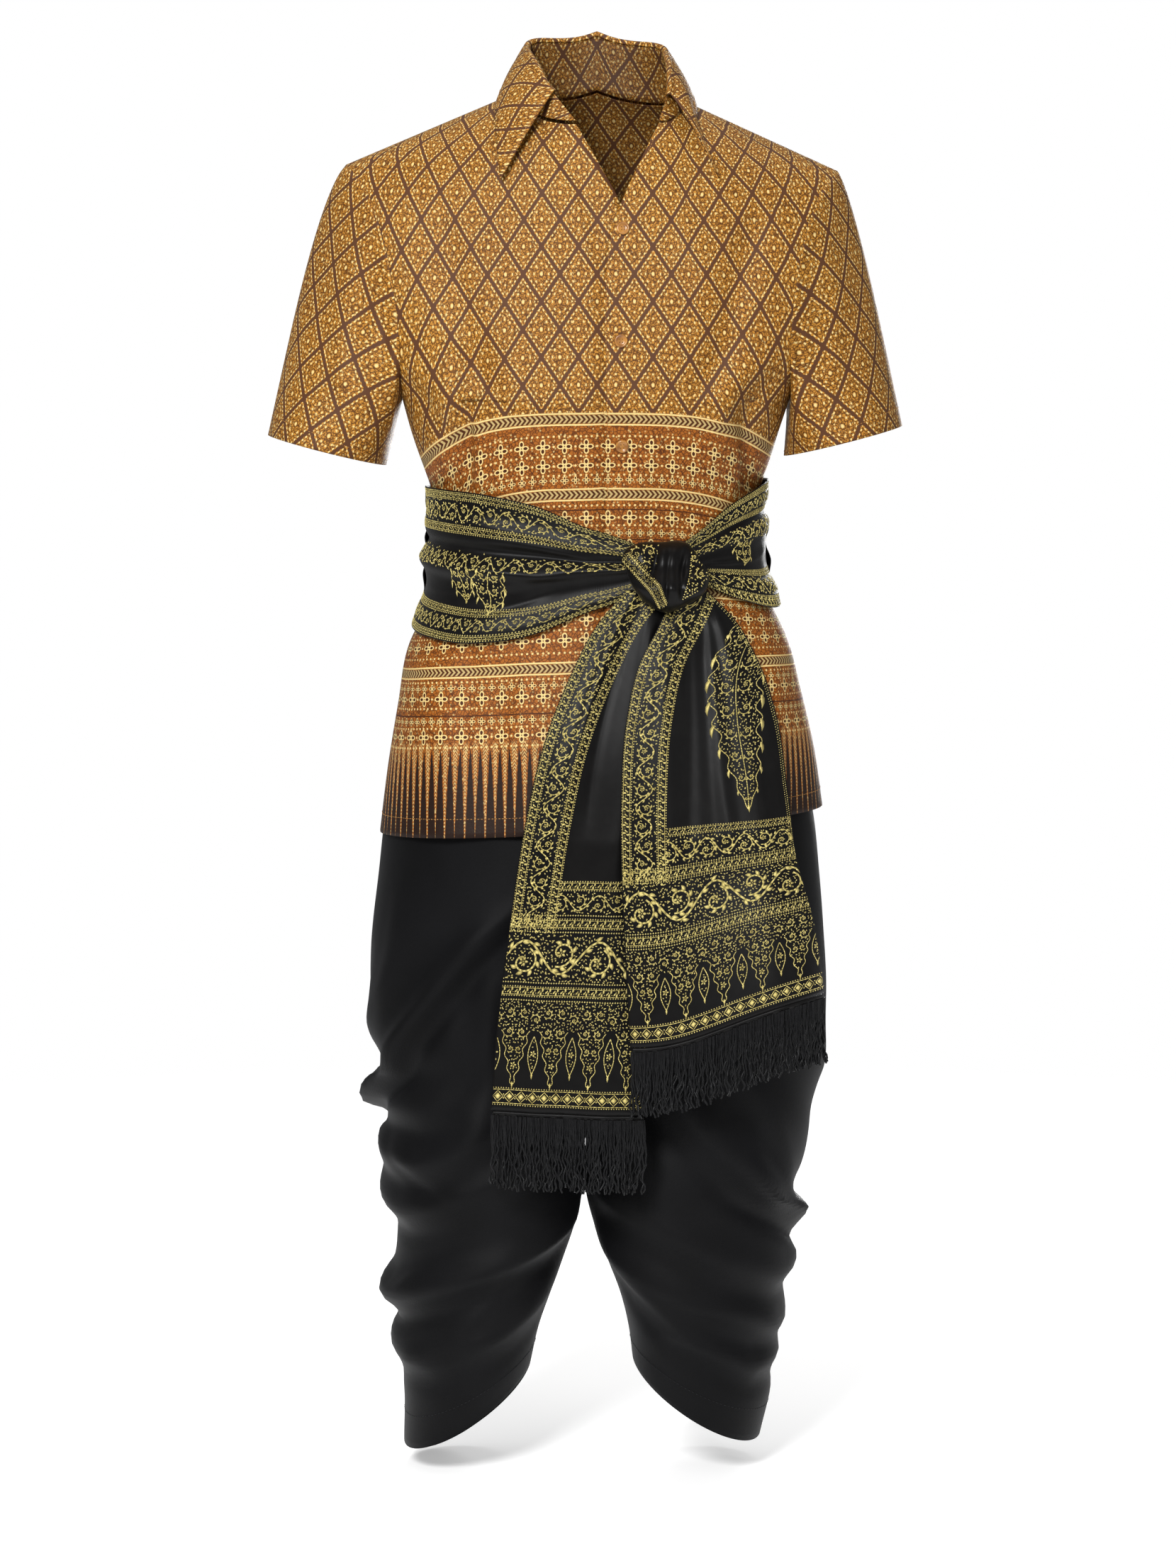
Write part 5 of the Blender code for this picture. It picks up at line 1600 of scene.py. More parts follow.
class Figures:
    """Flat gold figures. Each is an outline round a middle point."""

    def __init__(self, seed):
        self.outlines = []
        self.chance = np.random.default_rng(seed)

    def leaf(self, x, y, heading, length, width, bend=0.0):
        """A pointed leaf from its foot. heading and bend are in degrees."""
        spine, sides = [], []
        at = np.array([x, y], float)
        before = 0.0
        for share in LEAF_SHARES:
            turn = math.radians(heading + bend * (share - 0.15))
            way = np.array([math.cos(turn), math.sin(turn)])
            at = at + way * length * (share - before)
            before = share
            spine.append(at)
            sides.append(np.array([-way[1], way[0]]) * width / 2 * math.sin(math.pi * min(share**0.75, 1.0)))
        left = [p + s for p, s in zip(spine[1:-1], sides[1:-1], strict=True)]
        right = [p - s for p, s in zip(spine[1:-1], sides[1:-1], strict=True)]
        self.outlines.append(np.array([spine[0], *right, spine[-1], *left[::-1]]))

    def bead(self, x, y, half, tall=None):
        tall = tall or half
        self.outlines.append(np.array([(x - half, y), (x, y - tall), (x + half, y), (x, y + tall)]))

    def ribbon(self, path, width):
        """A stem along a path of points, in short links."""
        path = np.asarray(path, float)
        way = np.gradient(path, axis=0)
        way /= np.maximum(np.linalg.norm(way, axis=1, keepdims=True), 1e-9)
        aside = np.stack([-way[:, 1], way[:, 0]], -1) * width / 2
        for i in range(len(path) - 1):
            self.outlines.append(
                np.array(
                    [
                        path[i] - aside[i],
                        path[i + 1] - aside[i + 1],
                        path[i + 1] + aside[i + 1],
                        path[i] + aside[i],
                    ]
                )
            )

    def flower(self, x, y, reach, petals, turned=0.0):
        for i in range(petals):
            heading = turned + 360 * i / petals
            c, s = math.cos(math.radians(heading)), math.sin(math.radians(heading))
            self.leaf(x + c * reach * 0.22, y + s * reach * 0.22, heading, reach * 0.8, reach * 0.52)
        self.bead(x, y, reach * 0.16)

    def curl(self, x, y, radius, start, turns, width):
        """A spiral stem that winds in to a small flower, with leaves on its outside."""
        share = np.linspace(0, 1, 16)
        angle = np.radians(start + 360 * turns * share)
        reach = radius * (1 - 0.72 * share)
        path = np.stack([x + reach * np.cos(angle), y + reach * np.sin(angle)], -1)
        self.ribbon(path, width)
        side = math.copysign(1, turns)
        for i in (1, 3, 5, 7, 9):
            heading = math.degrees(angle[i]) + side * 38
            self.leaf(*path[i], heading, radius * 0.52, radius * 0.3, side * 50)
        self.flower(x, y, radius * 0.36, 5, start)

    def fill(self, x0, x1, y0, y1, pitch, inside=None):
        """Small leaves wherever an area is still bare."""
        if not self.outlines:
            self.bead((x0 + x1) / 2, (y0 + y1) / 2, 0.8)
        columns, rows = int((x1 - x0) / pitch) + 1, int((y1 - y0) / pitch) + 1
        bare = np.ones((columns, rows), bool)
        for outline in self.outlines:
            middle = outline.mean(0)
            spots = np.concatenate([outline, [middle], (outline + middle) / 2])
            cell = np.round((spots - (x0, y0)) / pitch - 0.5).astype(int)
            good = ((cell >= 0) & (cell < (columns, rows))).all(1)
            bare[cell[good, 0], cell[good, 1]] = False
        for i, j in np.argwhere(bare):
            x, y = x0 + (i + 0.5) * pitch, y0 + (j + 0.5) * pitch
            x, y = x + self.chance.uniform(-0.25, 0.25) * pitch, y + self.chance.uniform(-0.25, 0.25) * pitch
            heading, bend = self.chance.uniform(0, 360), self.chance.uniform(-70, 70)
            if (inside is None or inside(x, y)) and y0 + 0.3 * pitch < y < y1 - 0.3 * pitch:
                self.leaf(x, y, heading, pitch * 0.82, pitch * 0.42, bend)

    def guard_band(self, length, y0, height=GUARD):
        """A narrow band: a chain of small leaves between lines and beads, with more beads on a broad one."""
        if height > 1.3 * GUARD:
            for x in np.arange(1.0, length, 2.4):
                self.bead(x, y0 + 1.2, 0.9)
                self.bead(x, y0 + height - 1.2, 0.9)
            self.guard_band(length, y0 + (height - GUARD) / 2, GUARD)
            return
        middle = y0 + height / 2
        for x in np.arange(1.0, length, 2.4):
            self.bead(x, y0 + 0.9, 0.8)
            self.bead(x, y0 + height - 0.9, 0.8)
        for y in (y0 + 2.2, y0 + height - 2.2):
            steps = np.linspace(0, length, max(int(length / 4), 2))
            self.ribbon(np.stack([steps, np.full_like(steps, y)], -1), 0.55)
        reach = (height - 5.2) / 5.4
        for x in np.arange(2.5, length - 2, 7.2):
            self.leaf(x, middle, 48, 4.6 * reach, 2.0 * reach, 80)
            self.leaf(x, middle, 228, 4.6 * reach, 2.0 * reach, 80)
            self.leaf(x + 3.6, middle - 2.0 * reach, 78, 3.8 * reach, 1.6 * reach, -60)
            self.bead(x + 5.4, middle + 1.0 * reach, 0.7)
            self.bead(x + 1.8, middle - 1.2 * reach, 0.6)

    def scroll_band(self, length, y0, height, pitch):
        """A winding stem with a curl in every bend and leaves on both sides."""
        middle = y0 + height / 2
        xs = np.arange(0, length, pitch / 14)
        path = np.stack([xs, middle + 0.34 * height * np.sin(2 * math.pi * xs / pitch)], -1)
        self.ribbon(path, height * 0.045)
        for k in range(int(2 * length / pitch) + 1):
            x = (k + 0.5) * pitch / 2
            hand = 1 if k % 2 == 0 else -1
            if x > length - height * 0.2:
                break
            curl_root = middle - hand * 0.10 * height
            self.curl(x, curl_root, height * 0.30, 90 * hand - 20, -0.95 * hand, height * 0.04)
        for i in range(1, len(path) - 1, 2):
            slope = math.degrees(math.atan2(*(path[i + 1] - path[i - 1])[::-1]))
            hand = 1 if i % 4 == 1 else -1
            self.leaf(*path[i], slope + hand * 55, height * 0.17, height * 0.085, -hand * 50)
        self.fill(0, length, y0, y0 + height, 2.9)

    def outlined(self, middle, halves, ys, width):
        """A line down both sides of a shape that is symmetrical about an upright line."""
        for hand in (-1, 1):
            self.ribbon(np.stack([middle + hand * halves, ys], -1), width)

    def pendant_band(self, length, y0, height, pitch):
        """Filigree that hangs in long and short pointed pendants by turns."""

        def long_half(share):
            body = np.clip((0.97 - share) / 0.64, 0, 1) ** 0.85
            return pitch * np.where(share < 0.33, 0.5, 0.36 * body + 0.035 * np.cos(share * 40) * (body > 0))

        def short_half(share):
            return pitch * 0.13 * np.sin(math.pi * np.clip((share - 0.40) / 0.44, 0, 1))

        for k in range(int(length / pitch) + 2):
            x, between_x = (k + 0.5) * pitch, k * pitch
            share = np.linspace(0.34, 0.97, 26)
            self.outlined(x, long_half(share), y0 + height * share, 0.8)
            share = np.linspace(0.40, 0.84, 14)
            self.outlined(between_x, short_half(share), y0 + height * share, 0.8)
            self.leaf(x, y0 + height * 0.93, 90, height * 0.08, 2.2)
            self.leaf(between_x, y0 + height * 0.82, 90, height * 0.08, 2.0)
            for hand in (-1, 1):
                for down, aside, radius in ((0.13, 0.19, 0.13), (0.36, 0.17, 0.13), (0.56, 0.11, 0.09)):
                    place = x + hand * pitch * aside, y0 + height * down
                    self.curl(*place, pitch * radius, 90 - 50 * hand, 0.95 * hand, 0.8)
            self.curl(between_x, y0 + height * 0.2, pitch * 0.13, 200, 0.95, 0.8)
            self.flower(between_x, y0 + height * 0.6, pitch * 0.09, 5)
            self.flower(x, y0 + height * 0.74, pitch * 0.09, 5)

        def inside(x, y):
            share = (y - y0) / height
            off = (x / pitch) % 1.0
            return abs(off - 0.5) * pitch < long_half(share) or min(off, 1 - off) * pitch < short_half(share)

        self.fill(0, length, y0, y0 + height * 0.97, 2.5, inside)

    def diamond_row(self, length, y0, height):
        middle = y0 + height / 2
        for x in np.arange(1.0, length, 2.4):
            self.bead(x, y0 + 0.8, 0.75)
            self.bead(x, y0 + height - 0.8, 0.75)
        for y in (y0 + 2.3, y0 + height - 2.3):
            steps = np.linspace(0, length, max(int(length / 4), 2))
            self.ribbon(np.stack([steps, np.full_like(steps, y)], -1), 0.7)
        reach = height / 2 - 3.4
        for x in np.arange(5.5, length - 3, 11.0):
            corners = [(x - reach, middle), (x, middle - reach), (x + reach, middle), (x, middle + reach)]
            self.ribbon([*corners, corners[0]], 0.9)
            self.bead(x, middle, reach * 0.62)
            self.bead(x + 5.5, middle - 1.8, 0.8)
            self.bead(x + 5.5, middle + 1.8, 0.8)

    def spray(self, x, y, heading, length, widest, sway=10.0):
        """A lobed flame of filigree along a bent spine, widest near its foot, with leaves at its lobes."""
        turn = math.radians(heading)
        start = np.array([x, y], float)
        way, aside = np.array([math.cos(turn), math.sin(turn)]), np.array([-math.sin(turn), math.cos(turn)])
        lobes = max(round(length / (widest * 0.8)), 3)

        def half(share):
            body = np.sin(math.pi * (0.24 + 0.76 * np.clip(share, 0, 1))) ** 0.8
            return widest * body * (0.86 + 0.14 * np.cos(2 * math.pi * lobes * share))

        def at(share, off):
            bent = sway * np.sin(np.asarray(share) * 5.2) + off
            return start + np.multiply.outer(share * length, way) + np.multiply.outer(bent, aside)

        share = np.linspace(0, 1, int(length / 2.4))
        self.ribbon(at(share, 0 * share), 0.9)
        for hand in (-1, 1):
            self.ribbon(at(share, hand * half(share)), 0.9)
            for lobe in range(lobes):
                here = (lobe + 0.02) / lobes
                wide = float(half(here))
                leaf_root = at(here, hand * wide * 0.9)
                self.leaf(*leaf_root, heading + hand * 38, wide * 0.45 + 2, wide * 0.11 + 1, -hand * 60)
                inner = (lobe + 0.45) / lobes
                radius = float(half(inner)) * 0.36
                self.curl(*at(inner, hand * radius * 1.3), radius, heading - hand * 90, hand * 0.95, 0.8)
        self.leaf(*at(0.97, 0.0), heading, min(length * 0.12, 9.0), 2.6)

        def inside(px, py):
            off = np.array([px, py]) - start
            share = off @ way / length
            bent = off @ aside - sway * math.sin(share * 5.2)
            return 0 < share < 1 and abs(bent) < half(share) - 0.8

        ends = np.concatenate([at(share, half(share)), at(share, -half(share))])
        low, high = ends.min(0), ends.max(0)
        self.fill(low[0], high[0], low[1], high[1], 2.6, inside)


def laid_gold(name, parts, material):
    """Figures brought onto the cloth as low closed domes.

    parts are figures with the way from their flat places onto the cloth.
    A figure whose middle is off the cloth
    is left out.
    """
    vertices, faces = [], []
    for figures, place in parts:
        counts = np.array([len(outline) for outline in figures.outlines])
        flat = np.concatenate([np.vstack([outline, outline.mean(0)]) for outline in figures.outlines])
        ends = np.cumsum(counts + 1)
        lift = np.full(len(flat), GOLD_RIM)
        lift[ends - 1] = GOLD_LIFT
        points, inside = place(flat[:, 0], flat[:, 1], lift)
        for end, count in zip(ends, counts, strict=True):
            if not inside[end - 1]:
                continue
            ring, middle = points[end - 1 - count : end - 1], points[end - 1]
            turned = np.cross(ring[0] - middle, ring[1] - middle)
            if turned[0] * middle[0] + turned[1] * middle[1] < 0:
                ring = ring[::-1]
            first = len(vertices)
            vertices.extend((ring * MM).tolist())
            vertices.append((middle * MM).tolist())
            faces.extend((first + i, first + (i + 1) % count, first + count) for i in range(count))
            faces.append(tuple(range(first + count - 1, first - 1, -1)))
    mesh = bpy.data.meshes.new(name)
    mesh.from_pydata(vertices, [], faces)
    piece = add_piece(name, mesh, (material,))
    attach(piece, "root")
    return piece


def on_cloth(share):
    """Shares across kept on the cloth, and which of them lie on it."""
    return np.clip(share, 0.006, 0.994), (share > 0.004) & (share < 0.996)


class EndPlaces:
    """Ways from flat places onto a hanging end, measured from its bordered edge and its lower edge."""

    def __init__(self, side):
        self.end, self.bands = HangingEnd(side), END_BANDS[side]
        self.turned = side == "right"

    def at(self, from_border, down, lift):
        share, inside = on_cloth(from_border / self.end.width(down))
        return self.end.point(1 - share if self.turned else share, down, lift), inside

    def border(self, x, y, lift):
        return self.at(y, np.clip(x / self.end.length, 0, 1), lift)

    def upwards(self, x, y, lift):
        return self.at(x, np.clip(1 - y / self.end.length, 0, 1), lift)

    def hanging(self, x, y, lift):
        return self.upwards(x, self.bands["guard_1"] - y, lift)

    def beside_border(self, x, y, lift):
        points, inside = self.upwards(x, self.bands["scroll"] + y, lift)
        return points, inside & (x > GUARD + SCROLL + GUARD * np.clip(y / 20, 0, 1))

    def field(self, x, y, lift):
        return self.at(x, np.clip(y / self.end.length, 0, 1), lift)

    def far_edge(self, x, y, lift):
        down = np.clip(x / self.end.length, 0, 1)
        return self.at(self.end.width(down) - y, down, lift)


def hanging_end_gold(side, material):
    """Side border, black field with a spray, and the end bands of a hanging end."""
    places = EndPlaces(side)
    bands, length = places.bands, places.end.length
    widest = float(places.end.width(1.0))
    border = Figures(3)
    run = length - bands["guard_2"]
    border.guard_band(run, 0.0)
    border.scroll_band(run, GUARD, SCROLL, 34.0)
    border.guard_band(run, GUARD + SCROLL)
    ends = Figures(5)
    ends.diamond_row(widest, bands["diamonds"], bands["pendants"] - bands["diamonds"])
    ends.guard_band(widest, bands["guard_1"], bands["vine"] - bands["guard_1"])
    ends.scroll_band(widest, bands["vine"], bands["guard_2"] - bands["vine"], 70.0)
    ends.guard_band(widest, bands["guard_2"], bands["scroll"] - bands["guard_2"])
    pendants = Figures(7)
    pendants.pendant_band(widest, 0.0, bands["guard_1"] - bands["pendants"], 36.0)
    inner = Figures(9)
    inner.scroll_band(widest, 0.0, bands["guard_3"] - bands["scroll"], 36.0)
    inner.guard_band(widest, bands["guard_3"] - bands["scroll"], bands["field"] - bands["guard_3"])
    field = Figures(11)
    for spray in SPRAYS[side]:
        field.spray(*spray)
    edge = Figures(13)
    for x in np.arange(1.0, length - bands["guard_2"], 2.3):
        edge.bead(x, 1.4, 0.75)
        edge.bead(x + 1.1, 3.4, 0.6)
    parts = [
        (border, places.border),
        (ends, places.upwards),
        (pendants, places.hanging),
        (inner, places.beside_border),
        (field, places.field),
    ]
    if side == "left":
        parts.append((edge, places.far_edge))
    return laid_gold(f"sash_tail_{side}_gold", parts, material)


# Where each band of a hanging end starts, measured up from its lower edge.
END_BANDS = {
    "right": {
        "diamonds": 5.0,
        "pendants": 22.0,
        "guard_1": 102.0,
        "vine": 121.0,
        "guard_2": 166.0,
        "scroll": 184.0,
        "guard_3": 205.0,
        "field": 215.0,
    },
    "left": {
        "diamonds": 4.0,
        "pendants": 20.0,
        "guard_1": 88.0,
        "vine": 104.0,
        "guard_2": 148.0,
        "scroll": 163.0,
        "guard_3": 190.0,
        "field": 199.0,
    },
}
# Sprays on the black fields: place across and down, heading, length and widest half.
SPRAYS = {
    "right": ((104.0, 55.0, 88.0, 165.0, 19.0, 3.0),),
    "left": ((96.0, 14.0, 84.0, 190.0, 27.0, 6.0),),
}


def wrap_gold(name, wrap, layout, material):
    """Borders and the rolled fold's scrolls on a stretch of the sash round the waist."""
    figures = Figures(17)
    for kind, start, stop in layout["bands"]:
        if kind == "guard":
            figures.guard_band(wrap.length, start, stop - start)
        else:
            figures.scroll_band(wrap.length, start, stop - start, (stop - start) * 1.6)
    for spray in layout["sprays"]:
        figures.spray(*spray)

    def place(x, y, lift):
        run, across = x / wrap.length, y / wrap.width
        across, inside = on_cloth(across)
        inside &= (run > 0.004) & (run < 0.996)
        return wrap.point(np.clip(run, 0.002, 0.998), across, lift), inside

    return laid_gold(f"{name}_gold", [(figures, place)], material)


WRAP_LAYOUTS = {
    "sash_front_right": {
        "bands": (
            ("guard", 0.5, 8.0),
            ("scroll", 8.0, 26.0),
            ("guard", 26.0, 34.0),
            ("scroll", 47.0, 63.0),
            ("guard", 91.0, 98.0),
            ("scroll", 98.0, 111.0),
            ("guard", 111.0, 117.5),
        ),
        "sprays": ((96.0, 60.0, 84.0, 26.0, 13.0, 2.0), (128.0, 60.0, 100.0, 34.0, 16.0, 3.0)),
    },
    "sash_front_left": {
        "bands": (
            ("guard", 0.5, 7.0),
            ("scroll", 7.0, 20.0),
            ("guard", 20.0, 26.0),
            ("scroll", 30.0, 50.0),
            ("guard", 80.0, 87.0),
            ("scroll", 87.0, 106.0),
            ("guard", 106.0, 117.5),
        ),
        "sprays": ((70.0, 48.0, 96.0, 26.0, 13.0, 2.0),),
    },
    "sash_back": {
        "bands": (
            ("guard", 0.5, 8.0),
            ("scroll", 8.0, 26.0),
            ("guard", 26.0, 34.0),
            ("scroll", 46.0, 62.0),
            ("guard", 91.0, 98.0),
            ("scroll", 98.0, 111.0),
            ("guard", 111.0, 117.5),
        ),
        "sprays": (
            (60.0, 60.0, 90.0, 28.0, 14.0, 2.0),
            (150.0, 60.0, 96.0, 30.0, 15.0, 2.0),
            (240.0, 60.0, 86.0, 28.0, 14.0, 2.0),
            (330.0, 60.0, 92.0, 28.0, 14.0, 2.0),
        ),
    },
}


def knot_gold(material):
    """Brocade on the knot: a patch at its left as seen, a band at its right, and its turn of cloth."""

    def within(outline):
        corners = np.array(outline, float)
        step = np.roll(corners, -1, 0) - corners

        def inside(x, y):
            reach = (y - corners[:, 1]) / np.where(step[:, 1] == 0, 1e-9, step[:, 1])
            crossed = (reach >= 0) & (reach < 1) & (corners[:, 0] + reach * step[:, 0] > x)
            return crossed.sum() % 2 == 1

        return inside

    patch = Figures(19)
    patch.curl(-26, 24, 5.5, 60, 0.95, 0.9)
    patch.curl(-14, 26, 5.5, 200, -0.95, 0.9)
    patch.curl(-18, 13, 5.0, 20, 0.95, 0.9)
    patch.fill(-36, -6, 0, 35, 2.7, within(KNOT_PATCH))
    side_band = Figures(23)
    side_band.curl(31, 6, 4.6, 100, 0.95, 0.9)
    side_band.curl(26, 20, 3.8, 10, -0.95, 0.8)
    side_band.fill(14, 40, -18, 34, 2.6, within(KNOT_SIDE_BAND))
    for line in (KNOT_SIDE_BAND[4:], KNOT_SIDE_BAND[:4]):
        for start, stop in zip(line[:-1], line[1:], strict=True):
            steps = max(int(math.dist(start, stop) / 2.2), 1)
            for i in range(steps):
                side_band.bead(*(np.array(start) + (np.array(stop) - start) * i / steps), 0.75)
    turn = Figures(29)
    turn.guard_band(74.0, 0.2, 5.2)
    turn.scroll_band(74.0, 5.4, 5.6, 11.0)
    turn.guard_band(74.0, 10.8, 5.2)

    def turn_place(x, y, lift):
        share, side = x / 74.0, y / 8.0 - 1
        inside = (share > 0.01) & (share < 0.985) & (abs(side) < 0.97)
        return knot_band_point(np.clip(share, 0.01, 0.985), np.clip(side, -0.97, 0.97), lift), inside

    parts = [(patch, knot_place), (side_band, knot_place), (turn, turn_place)]
    return laid_gold("knot_gold", parts, material)


# Outlines of the knot's brocade patches, in millimetres from its middle.
KNOT_PATCH = ((-35, 34), (-6, 35), (-7, 22), (-11, 10), (-15, -2), (-24, 6), (-33, 20))
KNOT_SIDE_BAND = ((20, 34), (28, 26), (36, 9), (38, 1), (28, -9), (15, -16), (21, 4), (23, 20))


# Trims made by Geometry Nodes: the fringe's yarn and the stitches.


class Growth:
    """A Geometry Nodes tree under construction, with named inputs."""

    def __init__(self, name, **inputs):
        self.tree = bpy.data.node_groups.new(name, "GeometryNodeTree")
        self.tree.is_modifier = True
        face = self.tree.interface
        face.new_socket("Geometry", in_out="OUTPUT", socket_type="NodeSocketGeometry")
        face.new_socket("Geometry", in_out="INPUT", socket_type="NodeSocketGeometry")
        self.keys = {}
        for label, kind in inputs.items():
            socket = face.new_socket(label.replace("_", " "), in_out="INPUT", socket_type=f"NodeSocket{kind}")
            self.keys[label] = socket.identifier
        self.given = self.tree.nodes.new("NodeGroupInput").outputs

    def add(self, kind, result=0, settings=(), **sockets):
        """A node with its settings, its inputs linked or set, and one of its outputs handed back."""
        node = self.tree.nodes.new(kind)
        for key, value in settings:
            setattr(node, key, value)
        for label, value in sockets.items():
            socket_name = int(label[1:]) if label[1:].isdigit() else label.replace("_", " ")
            slot = node.inputs[socket_name]
            if isinstance(value, bpy.types.NodeSocket):
                self.tree.links.new(value, slot)
            else:
                slot.default_value = value
        return node.outputs[result]

    def math(self, operation, a, b=0.0):
        return self.add("ShaderNodeMath", 0, (("operation", operation),), s0=a, s1=b)

    def scaled(self, vector, amount):
        return self.add("ShaderNodeVectorMath", 0, (("operation", "SCALE"),), s0=vector, Scale=amount)

    def ended(self, geometry):
        """The tree's last steps: real meshes with their material."""
        real = self.add("GeometryNodeRealizeInstances", Geometry=geometry)
        done = self.add("GeometryNodeSetMaterial", Geometry=real, Material=self.given["Material"])
        self.tree.links.new(done, self.tree.nodes.new("NodeGroupOutput").inputs[0])

    def grown(self, name, paths, **values):
        """A plain mesh piece grown along paths of points."""
        mesh = bpy.data.meshes.new(name)
        vertices, edges = [], []
        for path in paths:
            first = len(vertices)
            vertices.extend((np.asarray(path) * MM).tolist())
            edges.extend((first + i, first + i + 1) for i in range(len(path) - 1))
        mesh.from_pydata(vertices, edges, [])
        piece = bpy.data.objects.new(name, mesh)
        bpy.context.scene.collection.objects.link(piece)
        growth = piece.modifiers.new("growth", "NODES")
        growth.node_group = self.tree
        for label, value in values.items():
            growth[self.keys[label]] = value
        piece = finished(piece)
        piece.data.shade_smooth()
        return piece


def fringe_growth():
    """Strands of twisted yarn that hang from a path, sway together in clumps and end unevenly."""
    tree = Growth(
        "fringe_growth",
        Strands="Int",
        Length="Float",
        Yarn_Radius="Float",
        Sway="Float",
        Depth="Float",
        Seed="Int",
        Material="Material",
    )
    given = tree.given
    path = tree.add("GeometryNodeMeshToCurve", Mesh=given["Geometry"])
    roots = tree.add("GeometryNodeResampleCurve", Curve=path, Count=given["Strands"])
    deeper = tree.add(
        "FunctionNodeRandomValue", 1, (("data_type", "FLOAT"),), s2=-0.5, s3=0.5, Seed=given["Seed"]
    )
    inwards = tree.add("ShaderNodeCombineXYZ", Y=tree.math("MULTIPLY", deeper, given["Depth"]))
    roots = tree.add("GeometryNodeSetPosition", Geometry=roots, Offset=inwards)
    strand = tree.add("GeometryNodeCurvePrimitiveLine", End=(0.0, 0.0, -1.0))
    strand = tree.add("GeometryNodeResampleCurve", Curve=strand, Count=22)
    uneven = tree.add(
        "FunctionNodeRandomValue",
        1,
        (("data_type", "FLOAT"),),
        s2=0.93,
        s3=1.03,
        Seed=tree.math("ADD", given["Seed"], 1.0),
    )
    size = tree.add("ShaderNodeCombineXYZ", X=1.0, Y=1.0, Z=tree.math("MULTIPLY", uneven, given["Length"]))
    strands = tree.add("GeometryNodeInstanceOnPoints", Points=roots, Instance=strand, Scale=size)
    strands = tree.add("GeometryNodeRealizeInstances", Geometry=strands)
    share = tree.add("GeometryNodeSplineParameter", 0)
    place = tree.add("GeometryNodeInputPosition")
    clumps = tree.add(
        "ShaderNodeTexNoise",
        1,
        Vector=tree.add(
            "ShaderNodeVectorMath", 0, (("operation", "MULTIPLY"),), s0=place, s1=(95.0, 95.0, 14.0)
        ),
        Scale=1.0,
        Detail=1.0,
    )
    single = tree.add(
        "ShaderNodeTexNoise",
        1,
        Vector=tree.add(
            "ShaderNodeVectorMath", 0, (("operation", "MULTIPLY"),), s0=place, s1=(900.0, 900.0, 130.0)
        ),
        Scale=1.0,
        Detail=0.0,
    )
    middle = (0.5, 0.5, 0.5)
    clumps = tree.add("ShaderNodeVectorMath", 0, (("operation", "SUBTRACT"),), s0=clumps, s1=middle)
    single = tree.add("ShaderNodeVectorMath", 0, (("operation", "SUBTRACT"),), s0=single, s1=middle)
    both = tree.add("ShaderNodeVectorMath", 0, s0=tree.scaled(clumps, 2.2), s1=tree.scaled(single, 1.5))
    level = tree.add("ShaderNodeVectorMath", 0, (("operation", "MULTIPLY"),), s0=both, s1=(1.0, 0.7, 0.0))
    drift = tree.scaled(level, tree.math("MULTIPLY", share, given["Sway"]))
    strands = tree.add("GeometryNodeSetPosition", Geometry=strands, Offset=drift)
    twist = tree.math("SINE", tree.math("MULTIPLY", share, 66.0))
    bulk = tree.math("ADD", tree.math("MULTIPLY", twist, 0.16), 1.0)
    strands = tree.add("GeometryNodeSetCurveRadius", Curve=strands, Radius=bulk)
    profile = tree.add("GeometryNodeCurvePrimitiveCircle", Resolution=5, Radius=given["Yarn Radius"])
    yarn = tree.add("GeometryNodeCurveToMesh", Curve=strands, s1=profile)
    for node in tree.tree.nodes:
        if node.bl_idname == "GeometryNodeCurveToMesh":
            node.inputs["Fill Caps"].default_value = True
    tree.ended(yarn)
    return tree


def stitch_growth():
    """Short threads laid end to end along a path."""
    tree = Growth(
        "stitch_growth", Pitch="Float", Stitch_Length="Float", Thread_Radius="Float", Material="Material"
    )
    given = tree.given
    path = tree.add("GeometryNodeMeshToCurve", Mesh=given["Geometry"])
    spots = tree.tree.nodes.new("GeometryNodeCurveToPoints")
    spots.mode = "LENGTH"
    tree.tree.links.new(path, spots.inputs["Curve"])
    tree.tree.links.new(given["Pitch"], spots.inputs["Length"])
    thread = tree.add("GeometryNodeMeshIcoSphere", Radius=1.0, Subdivisions=1)
    half = tree.math("MULTIPLY", given["Stitch Length"], 0.5)
    size = tree.add("ShaderNodeCombineXYZ", X=given["Thread Radius"], Y=given["Thread Radius"], Z=half)
    stitches = tree.add(
        "GeometryNodeInstanceOnPoints",
        Points=spots.outputs["Points"],
        Instance=thread,
        Rotation=spots.outputs["Rotation"],
        Scale=size,
    )
    tree.ended(stitches)
    return tree


def row_line(points, row, off):
    """A path along a grid of points at a row, which may lie between two rows, just off the surface."""
    row = row % len(points)
    low = int(row)
    high = min(low + 1, len(points) - 1)
    grid = points + normals(points) * off
    return grid[low] + (grid[high] - grid[low]) * (row - low)


def column_line(points, distance, off):
    """A path down a grid of points, at a distance from its first column, or its last if negative."""
    grid = points + normals(points) * off
    if distance < 0:
        grid = grid[:, ::-1]
    runs = run_along(grid, 1)
    return np.array(
        [
            [np.interp(abs(distance), run, row[:, axis]) for axis in range(3)]
            for run, row in zip(runs, grid, strict=True)
        ]
    )


HEM_STITCH_ROW = 3.6
CUFF_STITCH_ROW = 55.6
SHIRT_PITCH = 0.0032
TROUSER_PITCH = 0.004
TROUSER_HEM_ROW = 145.0
STITCH_OFF = 0.12


